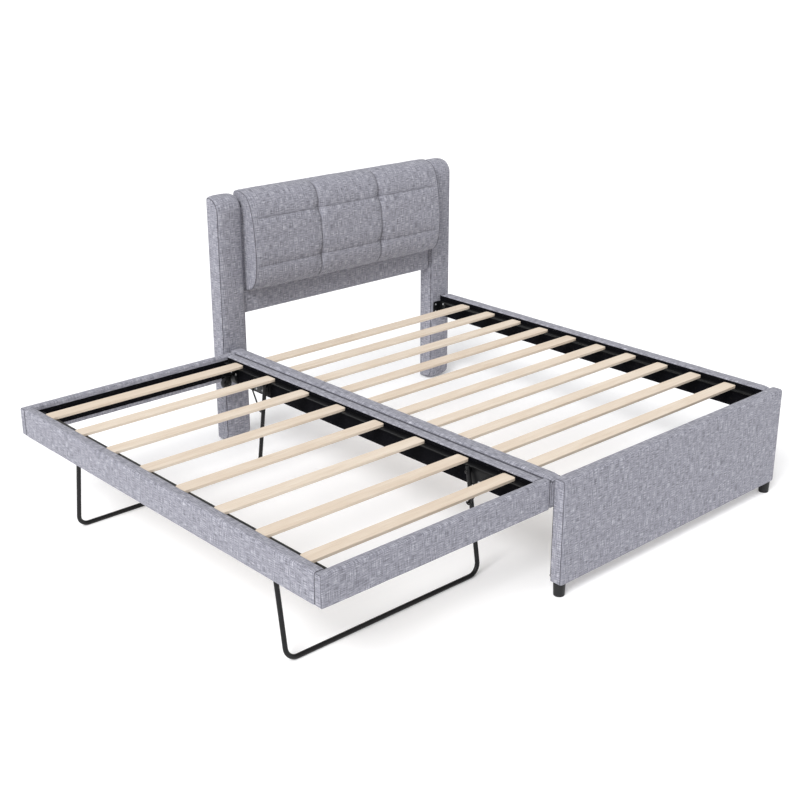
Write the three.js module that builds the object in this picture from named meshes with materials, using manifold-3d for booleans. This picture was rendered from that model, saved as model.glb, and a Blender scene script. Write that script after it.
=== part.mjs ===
// Upholstered platform bed with a pop-up trundle, shown pulled out and raised.
// Millimetres, +Z up. +X points across the bed to the side away from the trundle and
// +Y points to the headboard. The origin is the bottom centre of the whole object.
import * as THREE from 'three';
import { mergeVertices } from 'three/addons/utils/BufferGeometryUtils.js';
import Module from 'manifold-3d';

const wasm = await Module();
wasm.setup();

// ---- driving dimensions -------------------------------------------------------------

const GAP = 0.3;                    // clearance between pieces that rest on each other

// main bed
const FOOTBOARD_WIDTH = 1390;
const FOOTBOARD_THICKNESS = 54;
const FOOTBOARD_TOP = 470;
const FOOTBOARD_TOP_RADIUS = 14;
const FOOTBOARD_BOTTOM_RADIUS = 4;
const FOOT_HEIGHT = 52;
const FOOT_RADIUS = 23;
const FOOT_INSET = 27;
const HEADBOARD_WIDTH = 1442;
const HEADBOARD_BACK = 2114;
const WING_WIDTH = 132;
const WING_FRONT = 2017;
const WING_TOP = 1160;
const WING_TOP_RADIUS = 68;
const WING_FOOT_RADIUS = 45;         // the padding is rounded where it nears the floor
const WING_BACK_RADIUS = 16;
const PANEL_FRONT = 2037;
const PANEL_BOTTOM = 607;
const PANEL_TOP = 1100;
const PANEL_BACK_RECESS = 18;
const CUSHION_END_GAP = 12;
const CUSHION_BOTTOM = 723;
const CUSHION_TOP = 1169;
const CUSHION_BACK = 2100;
const CUSHION_FRONT = 1946;
const CUSHION_FULLEST = 872;         // height of the deepest part of its section
const SIDE_RAIL_WIDTH = 56;
const SIDE_RAILS_OVERALL = 1406;
const SIDE_RAIL_TOP = 463;
const SIDE_RAIL_TOP_RADIUS = 9;
const EDGE_RADIUS = 3;              // lower edges of the rails
const SIDE_RAIL_BOTTOM = 348;

// slats, the same section in both frames
const SLAT_WIDTH = 60;
const SLAT_THICKNESS = 12;
const SLAT_TOP = 449;
const MAIN_SLAT_END_GAP = 9;
const TRUNDLE_SLAT_END_GAP = 4;
const SLAT_CORNER_RADIUS = 9;
const MAIN_SLATS = 10;
const MAIN_FIRST_SLAT = 191;
const MAIN_SLAT_PITCH = 176.7;
const TRUNDLE_SLATS = 8;
const TRUNDLE_FIRST_SLAT = 172;
const TRUNDLE_SLAT_PITCH = 234.7;

// trundle frame, raised
const TRUNDLE_WIDTH = 1046;
const TRUNDLE_FOOT_END = 57;
const TRUNDLE_LENGTH = 1924;
const TRUNDLE_TOP = 461;
const TRUNDLE_BOTTOM = 345;
const TRUNDLE_SIDE_THICKNESS = 50;
const TRUNDLE_END_THICKNESS = 34;
const TRUNDLE_SIDE_TOP_RADIUS = 10;
const TRUNDLE_END_TOP_RADIUS = 9;
const TRUNDLE_TO_BED = 4;

// pressed steel angles that carry the slats
const ANGLE_THICKNESS = 3;
const ANGLE_SHELF = 28;
const ANGLE_HEIGHT = 20;
const ANGLE_END_GAP = 10;

// corner brackets of the main bed
const BRACKET_THICKNESS = 3;
const BRACKET_LEAF = 46;
const BRACKET_HEIGHT = 66;
const BRACKET_BOTTOM = 362;
const BRACKET_TO_ANGLE = 4;

// folding U legs
const TUBE_RADIUS = 9;
const TUBE_SIDES = 12;
const LEG_BEND_RADIUS = 45;
const LEG_BEND_STEPS = 6;
const LEG_LEAN = THREE.MathUtils.degToRad(8.9);
const LEG_TOP_STUB = 20;
const LEG_INSET = 18.5;             // inner face of the side rail to the tube's middle
const LEG_PIVOT_END = 339;          // trundle's end to the leg pivot
const LEG_PIVOT_Z = 405;
const LOCK_PIN_DISTANCE = 116;      // leg pivot to the lock pin, down the tube

// lock braces
const BRACE_PIVOT_END = 249;
const BRACE_PIVOT_Z = 398;
const BRACE_INSET = 33.5;
const BRACE_ROD_RADIUS = 3.5;
const HOOK_RADIUS = 9;

const HOOK_SWEEP = THREE.MathUtils.degToRad(90);
const HOOK_STEPS = 6;
const LEG_PIN_RADIUS = 4.5;
const BRACE_PIN_RADIUS = 3.2;
const LOCK_PIN_RADIUS = 4;
const PLATE_THICKNESS = 3;
const PIVOT_PLATE_MARGIN = 16;       // plate past each stud, along the rail
const PIVOT_PLATE_ABOVE = 10;
const PIVOT_PLATE_BELOW = 52;
const LEG_STUD_RADIUS = 8;
const LEG_STUD_END = 30;
const BRACE_STUD_RADIUS = 7;
const BRACE_STUD_END = 40;
const BRACE_EYE_RADIUS = 9;
const PIN_CLEARANCE = 0.4;

// casters
const AXLE_RADIUS = 4;
const WHEEL_RADIUS = 25;
const WHEEL_WIDTH = 20;
const WHEEL_END = 83;               // trundle's end to the wheel's middle
const WHEEL_INSET = 45;
const WHEEL_BELOW_FRAME = 15;
const WHEEL_FACE_RADIUS = 22;
const HUB_RADIUS = 10;
const HUB_PROUD = 1.5;
const FORK_HALF_WIDTH = 14;
const FORK_SIDE_GAP = 2.5;
const FORK_TOP_GAP = 8;
const FORK_BACK_HALF = 25;

// ---- places that follow from them ----------------------------------------------------

const sideRailOuter = SIDE_RAILS_OVERALL / 2;
const sideRailInner = sideRailOuter - SIDE_RAIL_WIDTH;
const wingInner = HEADBOARD_WIDTH / 2 - WING_WIDTH;
const slatBottom = SLAT_TOP - SLAT_THICKNESS;
const shelfTop = slatBottom - GAP;
const trundleRight = -sideRailOuter - TRUNDLE_TO_BED;
const trundleLeft = trundleRight - TRUNDLE_WIDTH;
const trundleMiddle = (trundleLeft + trundleRight) / 2;
const trundleHeadEnd = TRUNDLE_FOOT_END + TRUNDLE_LENGTH;
const trundleInnerHalf = TRUNDLE_WIDTH / 2 - TRUNDLE_SIDE_THICKNESS;
const legLength = (LEG_PIVOT_Z - TUBE_RADIUS) / Math.cos(LEG_LEAN);   // to the floor bar

// the four corners of the trundle frame: `inward` points from each side rail's inner
// face to the middle of the frame, `away` from each end of the frame to its middle
const corners = [];
for (const [end, endY, away] of [['foot', TRUNDLE_FOOT_END, 1], ['head', trundleHeadEnd, -1]]) {
  for (const [side, inward] of [['outer', 1], ['inner', -1]]) {
    const faceX = trundleMiddle - inward * trundleInnerHalf;
    corners.push({ name: `${end}_${side}`, end, endY, away, faceX, inward });
  }
}

// ---- materials -----------------------------------------------------------------------

const finish = (color, roughness, metalness) =>
  new THREE.MeshStandardMaterial({ color, roughness, metalness });
const linen = finish('#a4a4b0', 0.95, 0);
const pine = finish('#e6d8c3', 0.6, 0);
const blackSteel = finish('#26262a', 0.45, 0.6);
const blackPlastic = finish('#151517', 0.5, 0);
const greyRubber = finish('#2e2e31', 0.7, 0);

// ---- helpers -------------------------------------------------------------------------

const bed = new THREE.Group();

function addPiece(parent, name, geometry, material, x = 0, y = 0, z = 0) {
  const mesh = new THREE.Mesh(geometry, material);
  mesh.name = name;
  mesh.position.set(x, y, z);
  parent.add(mesh);
  return mesh;
}

// a box given by its lowest and highest corners
function block(low, high) {
  const size = high.map((value, i) => value - low[i]);
  const middle = high.map((value, i) => (value + low[i]) / 2);
  return new THREE.BoxGeometry(...size).translate(...middle);
}

// a cylinder along X or Y, from one end to the other, at a place across that axis
function pinAlongX(x0, x1, y, z, radius, sides = 12) {
  const length = Math.abs(x1 - x0);
  const pin = new THREE.CylinderGeometry(radius, radius, length, sides).rotateZ(Math.PI / 2);
  return pin.translate((x0 + x1) / 2, y, z);
}

function pinAlongY(y0, y1, x, z, radius, sides = 12) {
  const length = Math.abs(y1 - y0);
  const pin = new THREE.CylinderGeometry(radius, radius, length, sides);
  return pin.translate(x, (y0 + y1) / 2, z);
}

function toSolid(geometry) {
  const bare = geometry.clone();
  bare.deleteAttribute('normal');
  bare.deleteAttribute('uv');
  const merged = mergeVertices(bare);
  return new wasm.Manifold(new wasm.Mesh({
    numProp: 3,
    vertProperties: new Float32Array(merged.attributes.position.array),
    triVerts: new Uint32Array(merged.index.array),
  }));
}

function toGeometry(solid) {
  const mesh = solid.getMesh();
  const geometry = new THREE.BufferGeometry();
  geometry.setAttribute('position', new THREE.BufferAttribute(mesh.vertProperties, 3));
  geometry.setIndex(new THREE.BufferAttribute(mesh.triVerts, 1));
  geometry.computeVertexNormals();
  return geometry;
}

// joins the first list of geometries into one solid, then cuts the second list from it
function join(added, cut = []) {
  let solid = toSolid(added[0]);
  for (const geometry of added.slice(1)) solid = solid.add(toSolid(geometry));
  for (const geometry of cut) solid = solid.subtract(toSolid(geometry));
  return toGeometry(solid);
}

// an upright section of a padded board, standing on its own origin, with its corners
// rounded: `top` and `bottom` are the radii
function paddedSection(width, height, top, bottom) {
  const half = width / 2;
  const section = new THREE.Shape();
  section.moveTo(-half + bottom, 0);
  section.lineTo(half - bottom, 0);
  section.absarc(half - bottom, bottom, bottom, -Math.PI / 2, 0);
  section.absarc(half - top, height - top, top, 0, Math.PI / 2);
  section.absarc(-half + top, height - top, top, Math.PI / 2, Math.PI);
  section.absarc(-half + bottom, bottom, bottom, Math.PI, Math.PI * 1.5);
  return section;
}

// pushes a section drawn in X and Z along +Y from its origin
function alongY(section, length) {
  const options = { depth: length, bevelEnabled: false, curveSegments: 3 };
  const bar = new THREE.ExtrudeGeometry(section, options);
  return bar.rotateX(Math.PI / 2).translate(0, length, 0);
}

// pushes a section drawn in Y and Z along +X, centred on X = 0
function alongX(section, length) {
  const options = { depth: length, bevelEnabled: false, curveSegments: 3 };
  const bar = new THREE.ExtrudeGeometry(section, options);
  const turn = new THREE.Matrix4().makeBasis(
    new THREE.Vector3(0, 1, 0), new THREE.Vector3(0, 0, 1), new THREE.Vector3(1, 0, 0));
  return bar.applyMatrix4(turn).translate(-length / 2, 0, 0);
}

// a path through chosen stations, so that straight runs need no steps of their own
class StationPath extends THREE.Curve {
  constructor(stations) {
    super();
    this.stations = stations;
  }

  getPoint(t, target = new THREE.Vector3()) {
    const place = t * (this.stations.length - 1);
    const index = Math.min(Math.floor(place), this.stations.length - 2);
    return target.copy(this.stations[index]).lerp(this.stations[index + 1], place - index);
  }

  getSpacedPoints(divisions) {
    return this.getPoints(divisions);
  }

  getTangentAt(u, target = new THREE.Vector3()) {
    const index = Math.round(u * (this.stations.length - 1));
    const before = this.stations[Math.max(index - 1, 0)];
    const here = this.stations[index];
    const after = this.stations[Math.min(index + 1, this.stations.length - 1)];
    const arriving = here.clone().sub(before).normalize();
    const leaving = after.clone().sub(here).normalize();
    return target.copy(arriving).add(leaving).normalize();
  }
}

function rod(stations, radius, sides) {
  const section = new THREE.Shape();
  for (let i = 0; i < sides; i += 1) {
    const angle = (i / sides) * Math.PI * 2;
    const point = [radius * Math.cos(angle), radius * Math.sin(angle)];
    if (i === 0) section.moveTo(...point);
    else section.lineTo(...point);
  }
  const path = new StationPath(stations);
  const options = { steps: stations.length - 1, extrudePath: path, bevelEnabled: false };
  return new THREE.ExtrudeGeometry(section, options);
}

// ---- main bed ------------------------------------------------------------------------

function addHeadboard() {
  const panel = block(
    [-wingInner + GAP, PANEL_FRONT, PANEL_BOTTOM],
    [wingInner - GAP, HEADBOARD_BACK - PANEL_BACK_RECESS, PANEL_TOP]);
  addPiece(bed, 'headboard_panel', panel, linen);

  // the wings stand on the floor as the head legs; the padding stops short of the floor
  const wing = new THREE.Shape();
  wing.moveTo(WING_FRONT + WING_FOOT_RADIUS, 0);
  wing.lineTo(HEADBOARD_BACK, 0);
  wing.lineTo(HEADBOARD_BACK, WING_TOP - WING_BACK_RADIUS);
  wing.quadraticCurveTo(HEADBOARD_BACK, WING_TOP, HEADBOARD_BACK - WING_BACK_RADIUS, WING_TOP);
  const topArc = [WING_FRONT + WING_TOP_RADIUS, WING_TOP - WING_TOP_RADIUS];
  wing.absarc(...topArc, WING_TOP_RADIUS, Math.PI / 2, Math.PI);
  const footArc = [WING_FRONT + WING_FOOT_RADIUS, WING_FOOT_RADIUS];
  wing.absarc(...footArc, WING_FOOT_RADIUS, Math.PI, Math.PI * 1.5);
  for (const [name, side] of [['wing_left', -1], ['wing_right', 1]]) {
    addPiece(bed, name, alongX(wing, WING_WIDTH), linen, side * (wingInner + WING_WIDTH / 2));
  }

  // deep at the lower third, drawn in to the panel below and rolled over its top edge
  const cushion = new THREE.Shape();
  const face = CUSHION_FRONT;
  const full = CUSHION_FULLEST;
  cushion.moveTo(PANEL_FRONT - GAP, CUSHION_BOTTOM);
  cushion.lineTo(PANEL_FRONT - GAP, PANEL_TOP + GAP);
  cushion.lineTo(CUSHION_BACK, PANEL_TOP + GAP);
  cushion.lineTo(CUSHION_BACK, CUSHION_TOP - 11);
  cushion.quadraticCurveTo(CUSHION_BACK - 4, CUSHION_TOP, CUSHION_BACK - 26, CUSHION_TOP);
  cushion.bezierCurveTo(face + 44, CUSHION_TOP, face + 29, full + 248, face + 14, full + 178);
  cushion.bezierCurveTo(face + 2, full + 113, face - 2, full + 58, face, full);
  cushion.bezierCurveTo(face + 2, full - 82, face + 17, CUSHION_BOTTOM, face + 64, CUSHION_BOTTOM);
  const cushionLength = 2 * (wingInner - CUSHION_END_GAP);
  addPiece(bed, 'headboard_cushion', alongX(cushion, cushionLength), linen);
}

function addSideRails() {
  const length = WING_FRONT - FOOTBOARD_THICKNESS - 2 * GAP;
  const section = paddedSection(
    SIDE_RAIL_WIDTH, SIDE_RAIL_TOP - SIDE_RAIL_BOTTOM, SIDE_RAIL_TOP_RADIUS, EDGE_RADIUS);
  for (const [name, side] of [['side_rail_near', -1], ['side_rail_far', 1]]) {
    const x = side * (sideRailOuter - SIDE_RAIL_WIDTH / 2);
    addPiece(bed, name, alongY(section, length), linen,
      x, FOOTBOARD_THICKNESS + GAP, SIDE_RAIL_BOTTOM);
  }
}

function addFootboard() {
  const section = paddedSection(
    FOOTBOARD_THICKNESS, FOOTBOARD_TOP - FOOT_HEIGHT - GAP,
    FOOTBOARD_TOP_RADIUS, FOOTBOARD_BOTTOM_RADIUS);
  addPiece(bed, 'footboard', alongX(section, FOOTBOARD_WIDTH), linen,
    0, FOOTBOARD_THICKNESS / 2, FOOT_HEIGHT + GAP);
  for (const [name, side] of [['foot_left', -1], ['foot_right', 1]]) {
    const foot = new THREE.CylinderGeometry(FOOT_RADIUS, FOOT_RADIUS - 2, FOOT_HEIGHT, 32);
    addPiece(bed, name, foot.rotateX(Math.PI / 2), blackPlastic,
      side * (FOOTBOARD_WIDTH / 2 - FOOT_INSET), FOOT_INSET, FOOT_HEIGHT / 2);
  }
}

// a slat lying across a frame: flat, with its four corners rounded in plan
function slat(length) {
  const halfLength = length / 2;
  const halfWidth = SLAT_WIDTH / 2;
  const r = SLAT_CORNER_RADIUS;
  const plan = new THREE.Shape();
  plan.absarc(halfLength - r, -halfWidth + r, r, -Math.PI / 2, 0);
  plan.absarc(halfLength - r, halfWidth - r, r, 0, Math.PI / 2);
  plan.absarc(-halfLength + r, halfWidth - r, r, Math.PI / 2, Math.PI);
  plan.absarc(-halfLength + r, -halfWidth + r, r, Math.PI, Math.PI * 1.5);
  const options = { depth: SLAT_THICKNESS, bevelEnabled: false, curveSegments: 2 };
  return new THREE.ExtrudeGeometry(plan, options);
}

// an angle along Y: its upright leaf lies on the rail and its shelf points inward
function slatAngle(inward, length) {
  const t = ANGLE_THICKNESS;
  const outline = [
    [0, 0], [ANGLE_SHELF, 0], [ANGLE_SHELF, -t], [t, -t], [t, -ANGLE_HEIGHT], [0, -ANGLE_HEIGHT],
  ];
  const section = new THREE.Shape(outline.map(([x, z]) => new THREE.Vector2(inward * x, z)));
  return alongY(section, length);
}

function addSlats(prefix, count, firstSlat, pitch, middleX, halfLength) {
  const length = 2 * halfLength;
  for (let i = 0; i < count; i += 1) {
    const y = firstSlat + i * pitch + SLAT_WIDTH / 2;
    const name = `${prefix}_slat_${String(i + 1).padStart(2, '0')}`;
    addPiece(bed, name, slat(length), pine, middleX, y, slatBottom);
  }
}

function addMainSlats() {
  addSlats('main', MAIN_SLATS, MAIN_FIRST_SLAT, MAIN_SLAT_PITCH, 0,
    sideRailInner - MAIN_SLAT_END_GAP);
  const start = FOOTBOARD_THICKNESS + BRACKET_LEAF + BRACKET_TO_ANGLE;
  const length = WING_FRONT - BRACKET_LEAF - BRACKET_TO_ANGLE - start;
  for (const [name, side] of [['main_slat_angle_near', -1], ['main_slat_angle_far', 1]]) {
    addPiece(bed, name, slatAngle(-side, length), blackSteel,
      side * (sideRailInner - GAP), start, shelfTop);
  }
}

// steel corner brackets bolt the side rails to the footboard and to the head legs
function addCornerBrackets() {
  for (const [end, endY, away] of [['foot', FOOTBOARD_THICKNESS, 1], ['head', WING_FRONT, -1]]) {
    for (const [rail, side] of [['near', -1], ['far', 1]]) {
      const outline = [
        [0, 0], [BRACKET_LEAF, 0], [BRACKET_LEAF, BRACKET_THICKNESS],
        [BRACKET_THICKNESS, BRACKET_THICKNESS], [BRACKET_THICKNESS, BRACKET_LEAF], [0, BRACKET_LEAF],
      ];
      const section = new THREE.Shape(
        outline.map(([x, y]) => new THREE.Vector2(-side * x, away * y)));
      const options = { depth: BRACKET_HEIGHT, bevelEnabled: false };
      const bracket = new THREE.ExtrudeGeometry(section, options);
      addPiece(bed, `corner_bracket_${end}_${rail}`, bracket, blackSteel,
        side * (sideRailInner - GAP), endY + away * GAP, BRACKET_BOTTOM);
    }
  }
}

// ---- trundle -------------------------------------------------------------------------

function addTrundleFrame() {
  const height = TRUNDLE_TOP - TRUNDLE_BOTTOM;

  // the head and foot rails run the full width and cap the ends of the long rails
  const endSection = paddedSection(
    TRUNDLE_END_THICKNESS, height, TRUNDLE_END_TOP_RADIUS, EDGE_RADIUS);
  const endMiddle = TRUNDLE_END_THICKNESS / 2;
  for (const [name, y] of [
    ['trundle_rail_foot', TRUNDLE_FOOT_END + endMiddle],
    ['trundle_rail_head', trundleHeadEnd - endMiddle],
  ]) {
    addPiece(bed, name, alongX(endSection, TRUNDLE_WIDTH), linen, trundleMiddle, y, TRUNDLE_BOTTOM);
  }

  const sideSection = paddedSection(
    TRUNDLE_SIDE_THICKNESS, height, TRUNDLE_SIDE_TOP_RADIUS, EDGE_RADIUS);
  const sideLength = TRUNDLE_LENGTH - 2 * (TRUNDLE_END_THICKNESS + GAP);
  const sideOffset = (TRUNDLE_WIDTH - TRUNDLE_SIDE_THICKNESS) / 2;
  for (const [name, side] of [['trundle_rail_outer', -1], ['trundle_rail_inner', 1]]) {
    addPiece(bed, name, alongY(sideSection, sideLength), linen,
      trundleMiddle + side * sideOffset, TRUNDLE_FOOT_END + TRUNDLE_END_THICKNESS + GAP,
      TRUNDLE_BOTTOM);
  }

  addSlats('trundle', TRUNDLE_SLATS, TRUNDLE_FIRST_SLAT, TRUNDLE_SLAT_PITCH,
    trundleMiddle, trundleInnerHalf - TRUNDLE_SLAT_END_GAP);
  const angleLength = sideLength - 2 * ANGLE_END_GAP;
  const angleStart = TRUNDLE_FOOT_END + TRUNDLE_END_THICKNESS + GAP + ANGLE_END_GAP;
  for (const [name, inward] of [['trundle_slat_angle_outer', 1], ['trundle_slat_angle_inner', -1]]) {
    addPiece(bed, name, slatAngle(inward, angleLength), blackSteel,
      trundleMiddle - inward * (trundleInnerHalf - GAP), angleStart, shelfTop);
  }
}

// a plate on the side rail with two studs: one carries the leg, the other the brace
function addLegBracket({ name, endY, away, faceX, inward }) {
  const x = (inset) => faceX + inward * inset;
  const y = (distance) => endY + away * distance;
  const span = (a, b) => [Math.min(a, b), Math.max(a, b)];
  const [x0, x1] = span(x(GAP), x(GAP + PLATE_THICKNESS));
  const [y0, y1] = span(
    y(BRACE_PIVOT_END - PIVOT_PLATE_MARGIN), y(LEG_PIVOT_END + PIVOT_PLATE_MARGIN));
  const plateBack = x(GAP + 1);
  const legY = y(LEG_PIVOT_END);
  const braceY = y(BRACE_PIVOT_END);
  const legNear = x(LEG_INSET - TUBE_RADIUS - GAP);
  const legFar = x(LEG_INSET + TUBE_RADIUS + GAP);
  const legEnd = x(LEG_STUD_END);
  const braceNear = x(BRACE_INSET - BRACE_ROD_RADIUS - GAP);
  const braceFar = x(BRACE_INSET + BRACE_ROD_RADIUS + GAP);
  const braceEnd = x(BRACE_STUD_END);
  const bracket = join([
    block([x0, y0, LEG_PIVOT_Z - PIVOT_PLATE_BELOW], [x1, y1, LEG_PIVOT_Z + PIVOT_PLATE_ABOVE]),
    pinAlongX(plateBack, legNear, legY, LEG_PIVOT_Z, LEG_STUD_RADIUS),
    pinAlongX(plateBack, legEnd, legY, LEG_PIVOT_Z, LEG_PIN_RADIUS),
    pinAlongX(legFar, legEnd + inward / 2, legY, LEG_PIVOT_Z, LEG_STUD_RADIUS),
    pinAlongX(plateBack, braceNear, braceY, BRACE_PIVOT_Z, BRACE_STUD_RADIUS),
    pinAlongX(plateBack, braceEnd, braceY, BRACE_PIVOT_Z, BRACE_PIN_RADIUS),
    pinAlongX(braceFar, braceEnd + inward / 2, braceY, BRACE_PIVOT_Z, BRACE_STUD_RADIUS),
  ]);
  addPiece(bed, `leg_bracket_${name}`, bracket, blackSteel);
}

// one bent tube: two posts and the floor bar, drawn hanging straight down from its pivot
function addLeg(end, endY, away) {
  const halfSpan = trundleInnerHalf - LEG_INSET;
  const r = LEG_BEND_RADIUS;
  const stations = [new THREE.Vector3(-halfSpan, 0, LEG_TOP_STUB)];
  for (const [side, first, last] of [[-1, Math.PI, Math.PI * 1.5], [1, Math.PI * 1.5, Math.PI * 2]]) {
    for (let i = 0; i <= LEG_BEND_STEPS; i += 1) {
      const angle = first + ((last - first) * i) / LEG_BEND_STEPS;
      stations.push(new THREE.Vector3(
        side * (halfSpan - r) + r * Math.cos(angle), 0, -legLength + r + r * Math.sin(angle)));
    }
  }
  stations.push(new THREE.Vector3(halfSpan, 0, LEG_TOP_STUB));

  // a lock pin stands on the inside of each post, and the pivot stud passes through it
  const added = [rod(stations, TUBE_RADIUS, TUBE_SIDES)];
  const cut = [];
  for (const side of [-1, 1]) {
    const x = (inset) => side * (trundleInnerHalf - inset);
    const hookFar = BRACE_INSET + BRACE_ROD_RADIUS + 1;
    added.push(pinAlongX(x(LEG_INSET + 2), x(hookFar + 1.5), 0, -LOCK_PIN_DISTANCE, LOCK_PIN_RADIUS));
    added.push(pinAlongX(x(hookFar), x(hookFar + 2), 0, -LOCK_PIN_DISTANCE, LOCK_PIN_RADIUS + 1));
    cut.push(pinAlongX(x(LEG_INSET - 15), x(LEG_INSET + 15), 0, 0, LEG_PIN_RADIUS + PIN_CLEARANCE));
  }
  const leg = addPiece(bed, `u_leg_${end}`, join(added, cut), blackSteel,
    trundleMiddle, endY + away * LEG_PIVOT_END, LEG_PIVOT_Z);
  leg.rotation.x = -away * LEG_LEAN;
}

// a rod with an eye on the bracket's stud and a J hook that cups the leg's lock pin
function addBrace({ name, endY, away, faceX, inward }) {
  const lean = LEG_LEAN;
  const pin = new THREE.Vector2(
    LEG_PIVOT_END - LOCK_PIN_DISTANCE * Math.sin(lean), LEG_PIVOT_Z - LOCK_PIN_DISTANCE * Math.cos(lean));
  const eye = new THREE.Vector2(BRACE_PIVOT_END, BRACE_PIVOT_Z);
  const shank = pin.clone().sub(eye);
  const startAngle = Math.atan2(shank.y, shank.x) - Math.PI / 2;
  const x = faceX + inward * BRACE_INSET;
  const point = (across, up) => new THREE.Vector3(x, endY + away * across, up);

  const stations = [point(eye.x, eye.y)];
  for (let i = 0; i <= HOOK_STEPS; i += 1) {
    const angle = startAngle + (HOOK_SWEEP * i) / HOOK_STEPS;
    stations.push(point(pin.x + HOOK_RADIUS * Math.cos(angle), pin.y + HOOK_RADIUS * Math.sin(angle)));
  }
  const half = BRACE_ROD_RADIUS;
  const eyeY = endY + away * eye.x;
  const brace = join(
    [rod(stations, BRACE_ROD_RADIUS, 8), pinAlongX(x - half, x + half, eyeY, eye.y, BRACE_EYE_RADIUS)],
    [pinAlongX(x - 2 * half, x + 2 * half, eyeY, eye.y, BRACE_PIN_RADIUS + PIN_CLEARANCE)]);
  addPiece(bed, `lock_brace_${name}`, brace, blackSteel);
}

function addCaster({ name, endY, away, faceX, inward }) {
  const wheelX = faceX + inward * WHEEL_INSET;
  const wheelY = endY + away * WHEEL_END;
  const wheelZ = TRUNDLE_BOTTOM - WHEEL_BELOW_FRAME + WHEEL_RADIUS;
  const x = (inset) => faceX + inward * inset;
  const span = (a, b) => [Math.min(a, b), Math.max(a, b)];
  const cheekIn = WHEEL_WIDTH / 2 + FORK_SIDE_GAP;
  const cheekOut = cheekIn + PLATE_THICKNESS;
  const topZ = wheelZ + WHEEL_RADIUS + FORK_TOP_GAP;

  const [backX0, backX1] = span(x(GAP), x(GAP + PLATE_THICKNESS));
  const [forkX0, forkX1] = span(x(GAP + 1), x(WHEEL_INSET + FORK_HALF_WIDTH));
  const [cheekX0, cheekX1] = span(
    x(WHEEL_INSET - FORK_HALF_WIDTH), x(WHEEL_INSET + FORK_HALF_WIDTH));
  const added = [
    block(
      [backX0, wheelY - FORK_BACK_HALF, wheelZ - 8], [backX1, wheelY + FORK_BACK_HALF, topZ + 14]),
    block([forkX0, wheelY - cheekOut, topZ], [forkX1, wheelY + cheekOut, topZ + PLATE_THICKNESS]),
    pinAlongY(wheelY - cheekOut - 3, wheelY + cheekOut + 3, wheelX, wheelZ, AXLE_RADIUS),
  ];
  for (const side of [-1, 1]) {
    const [y0, y1] = span(wheelY + side * cheekIn, wheelY + side * cheekOut);
    added.push(block([cheekX0, y0, wheelZ - 9], [cheekX1, y1, topZ + 1]));
  }
  addPiece(bed, `caster_fork_${name}`, join(added), blackSteel);

  // the tread is slightly crowned and the hub stands out on both sides
  const half = WHEEL_WIDTH / 2;
  const bore = AXLE_RADIUS + PIN_CLEARANCE;
  const hub = half + HUB_PROUD;
  const tread = half - 4;
  const profile = [
    [bore, -hub], [HUB_RADIUS - 1, -hub], [HUB_RADIUS, -half], [WHEEL_FACE_RADIUS, -half],
    [WHEEL_RADIUS, -tread], [WHEEL_RADIUS, tread], [WHEEL_FACE_RADIUS, half], [HUB_RADIUS, half],
    [HUB_RADIUS - 1, hub], [bore, hub], [bore, -hub],
  ].map(([radius, along]) => new THREE.Vector2(radius, along));
  const wheel = new THREE.LatheGeometry(profile, 24);
  addPiece(bed, `caster_wheel_${name}`, wheel, greyRubber, wheelX, wheelY, wheelZ);
}

// ---- assembly ------------------------------------------------------------------------

addHeadboard();
addSideRails();
addFootboard();
addMainSlats();
addCornerBrackets();
addTrundleFrame();
for (const corner of corners) {
  addLegBracket(corner);
  addBrace(corner);
  addCaster(corner);
}
addLeg('foot', TRUNDLE_FOOT_END, 1);
addLeg('head', trundleHeadEnd, -1);

bed.position.set(-(trundleLeft + HEADBOARD_WIDTH / 2) / 2, -HEADBOARD_BACK / 2, 0);

export default bed;
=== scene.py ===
# %% [markdown]
# # A padded bed with a pop-up trundle
# The bed is a set of fabric-covered boards on a timber slat base, with a second, lower
# frame on folding tube legs pulled out beside it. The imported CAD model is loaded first
# and kept as a fixed frame: every piece below is built around its boxes, in metres.

# %% Load the frame
import math

import bmesh
import bpy
import numpy as np
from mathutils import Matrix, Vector, noise
from mathutils.bvhtree import BVHTree


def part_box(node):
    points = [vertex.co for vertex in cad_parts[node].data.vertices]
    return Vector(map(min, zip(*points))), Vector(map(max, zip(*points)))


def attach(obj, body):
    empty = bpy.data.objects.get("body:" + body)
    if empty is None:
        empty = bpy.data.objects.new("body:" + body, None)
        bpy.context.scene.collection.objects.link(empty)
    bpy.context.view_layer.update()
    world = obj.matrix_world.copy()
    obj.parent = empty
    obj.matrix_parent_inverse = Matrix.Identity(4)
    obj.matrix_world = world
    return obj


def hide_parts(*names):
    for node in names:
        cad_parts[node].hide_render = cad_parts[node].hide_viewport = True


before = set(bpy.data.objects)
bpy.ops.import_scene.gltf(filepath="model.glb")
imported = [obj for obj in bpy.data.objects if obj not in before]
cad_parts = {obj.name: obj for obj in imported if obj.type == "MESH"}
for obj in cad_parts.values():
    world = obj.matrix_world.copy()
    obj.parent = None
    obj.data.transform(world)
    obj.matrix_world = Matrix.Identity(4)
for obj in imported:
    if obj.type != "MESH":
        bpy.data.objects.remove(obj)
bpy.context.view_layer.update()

# %% [markdown]
# ## Where things are
# A bed maker measures from the middle of the bed, from the face of the footboard and
# from the floor, in millimetres. Two helpers turn such a place into the frame's metres,
# so that the sizes below read like the ones on a cutting list.

# %% Bed places to frame metres
MM = 0.001

foot_low, foot_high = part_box("footboard")
BED_X = (foot_low.x + foot_high.x) / 2
FRONT_Y = foot_low.y


def place(x, y, z):
    """A place on the bed in millimetres, as frame metres."""
    return Vector((BED_X + x * MM, FRONT_Y + y * MM, z * MM))


def node_box(node):
    """A CAD node's lowest and highest corners in bed millimetres."""
    corners = []
    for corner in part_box(node):
        corners.append(((corner.x - BED_X) / MM, (corner.y - FRONT_Y) / MM, corner.z / MM))
    return corners


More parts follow.
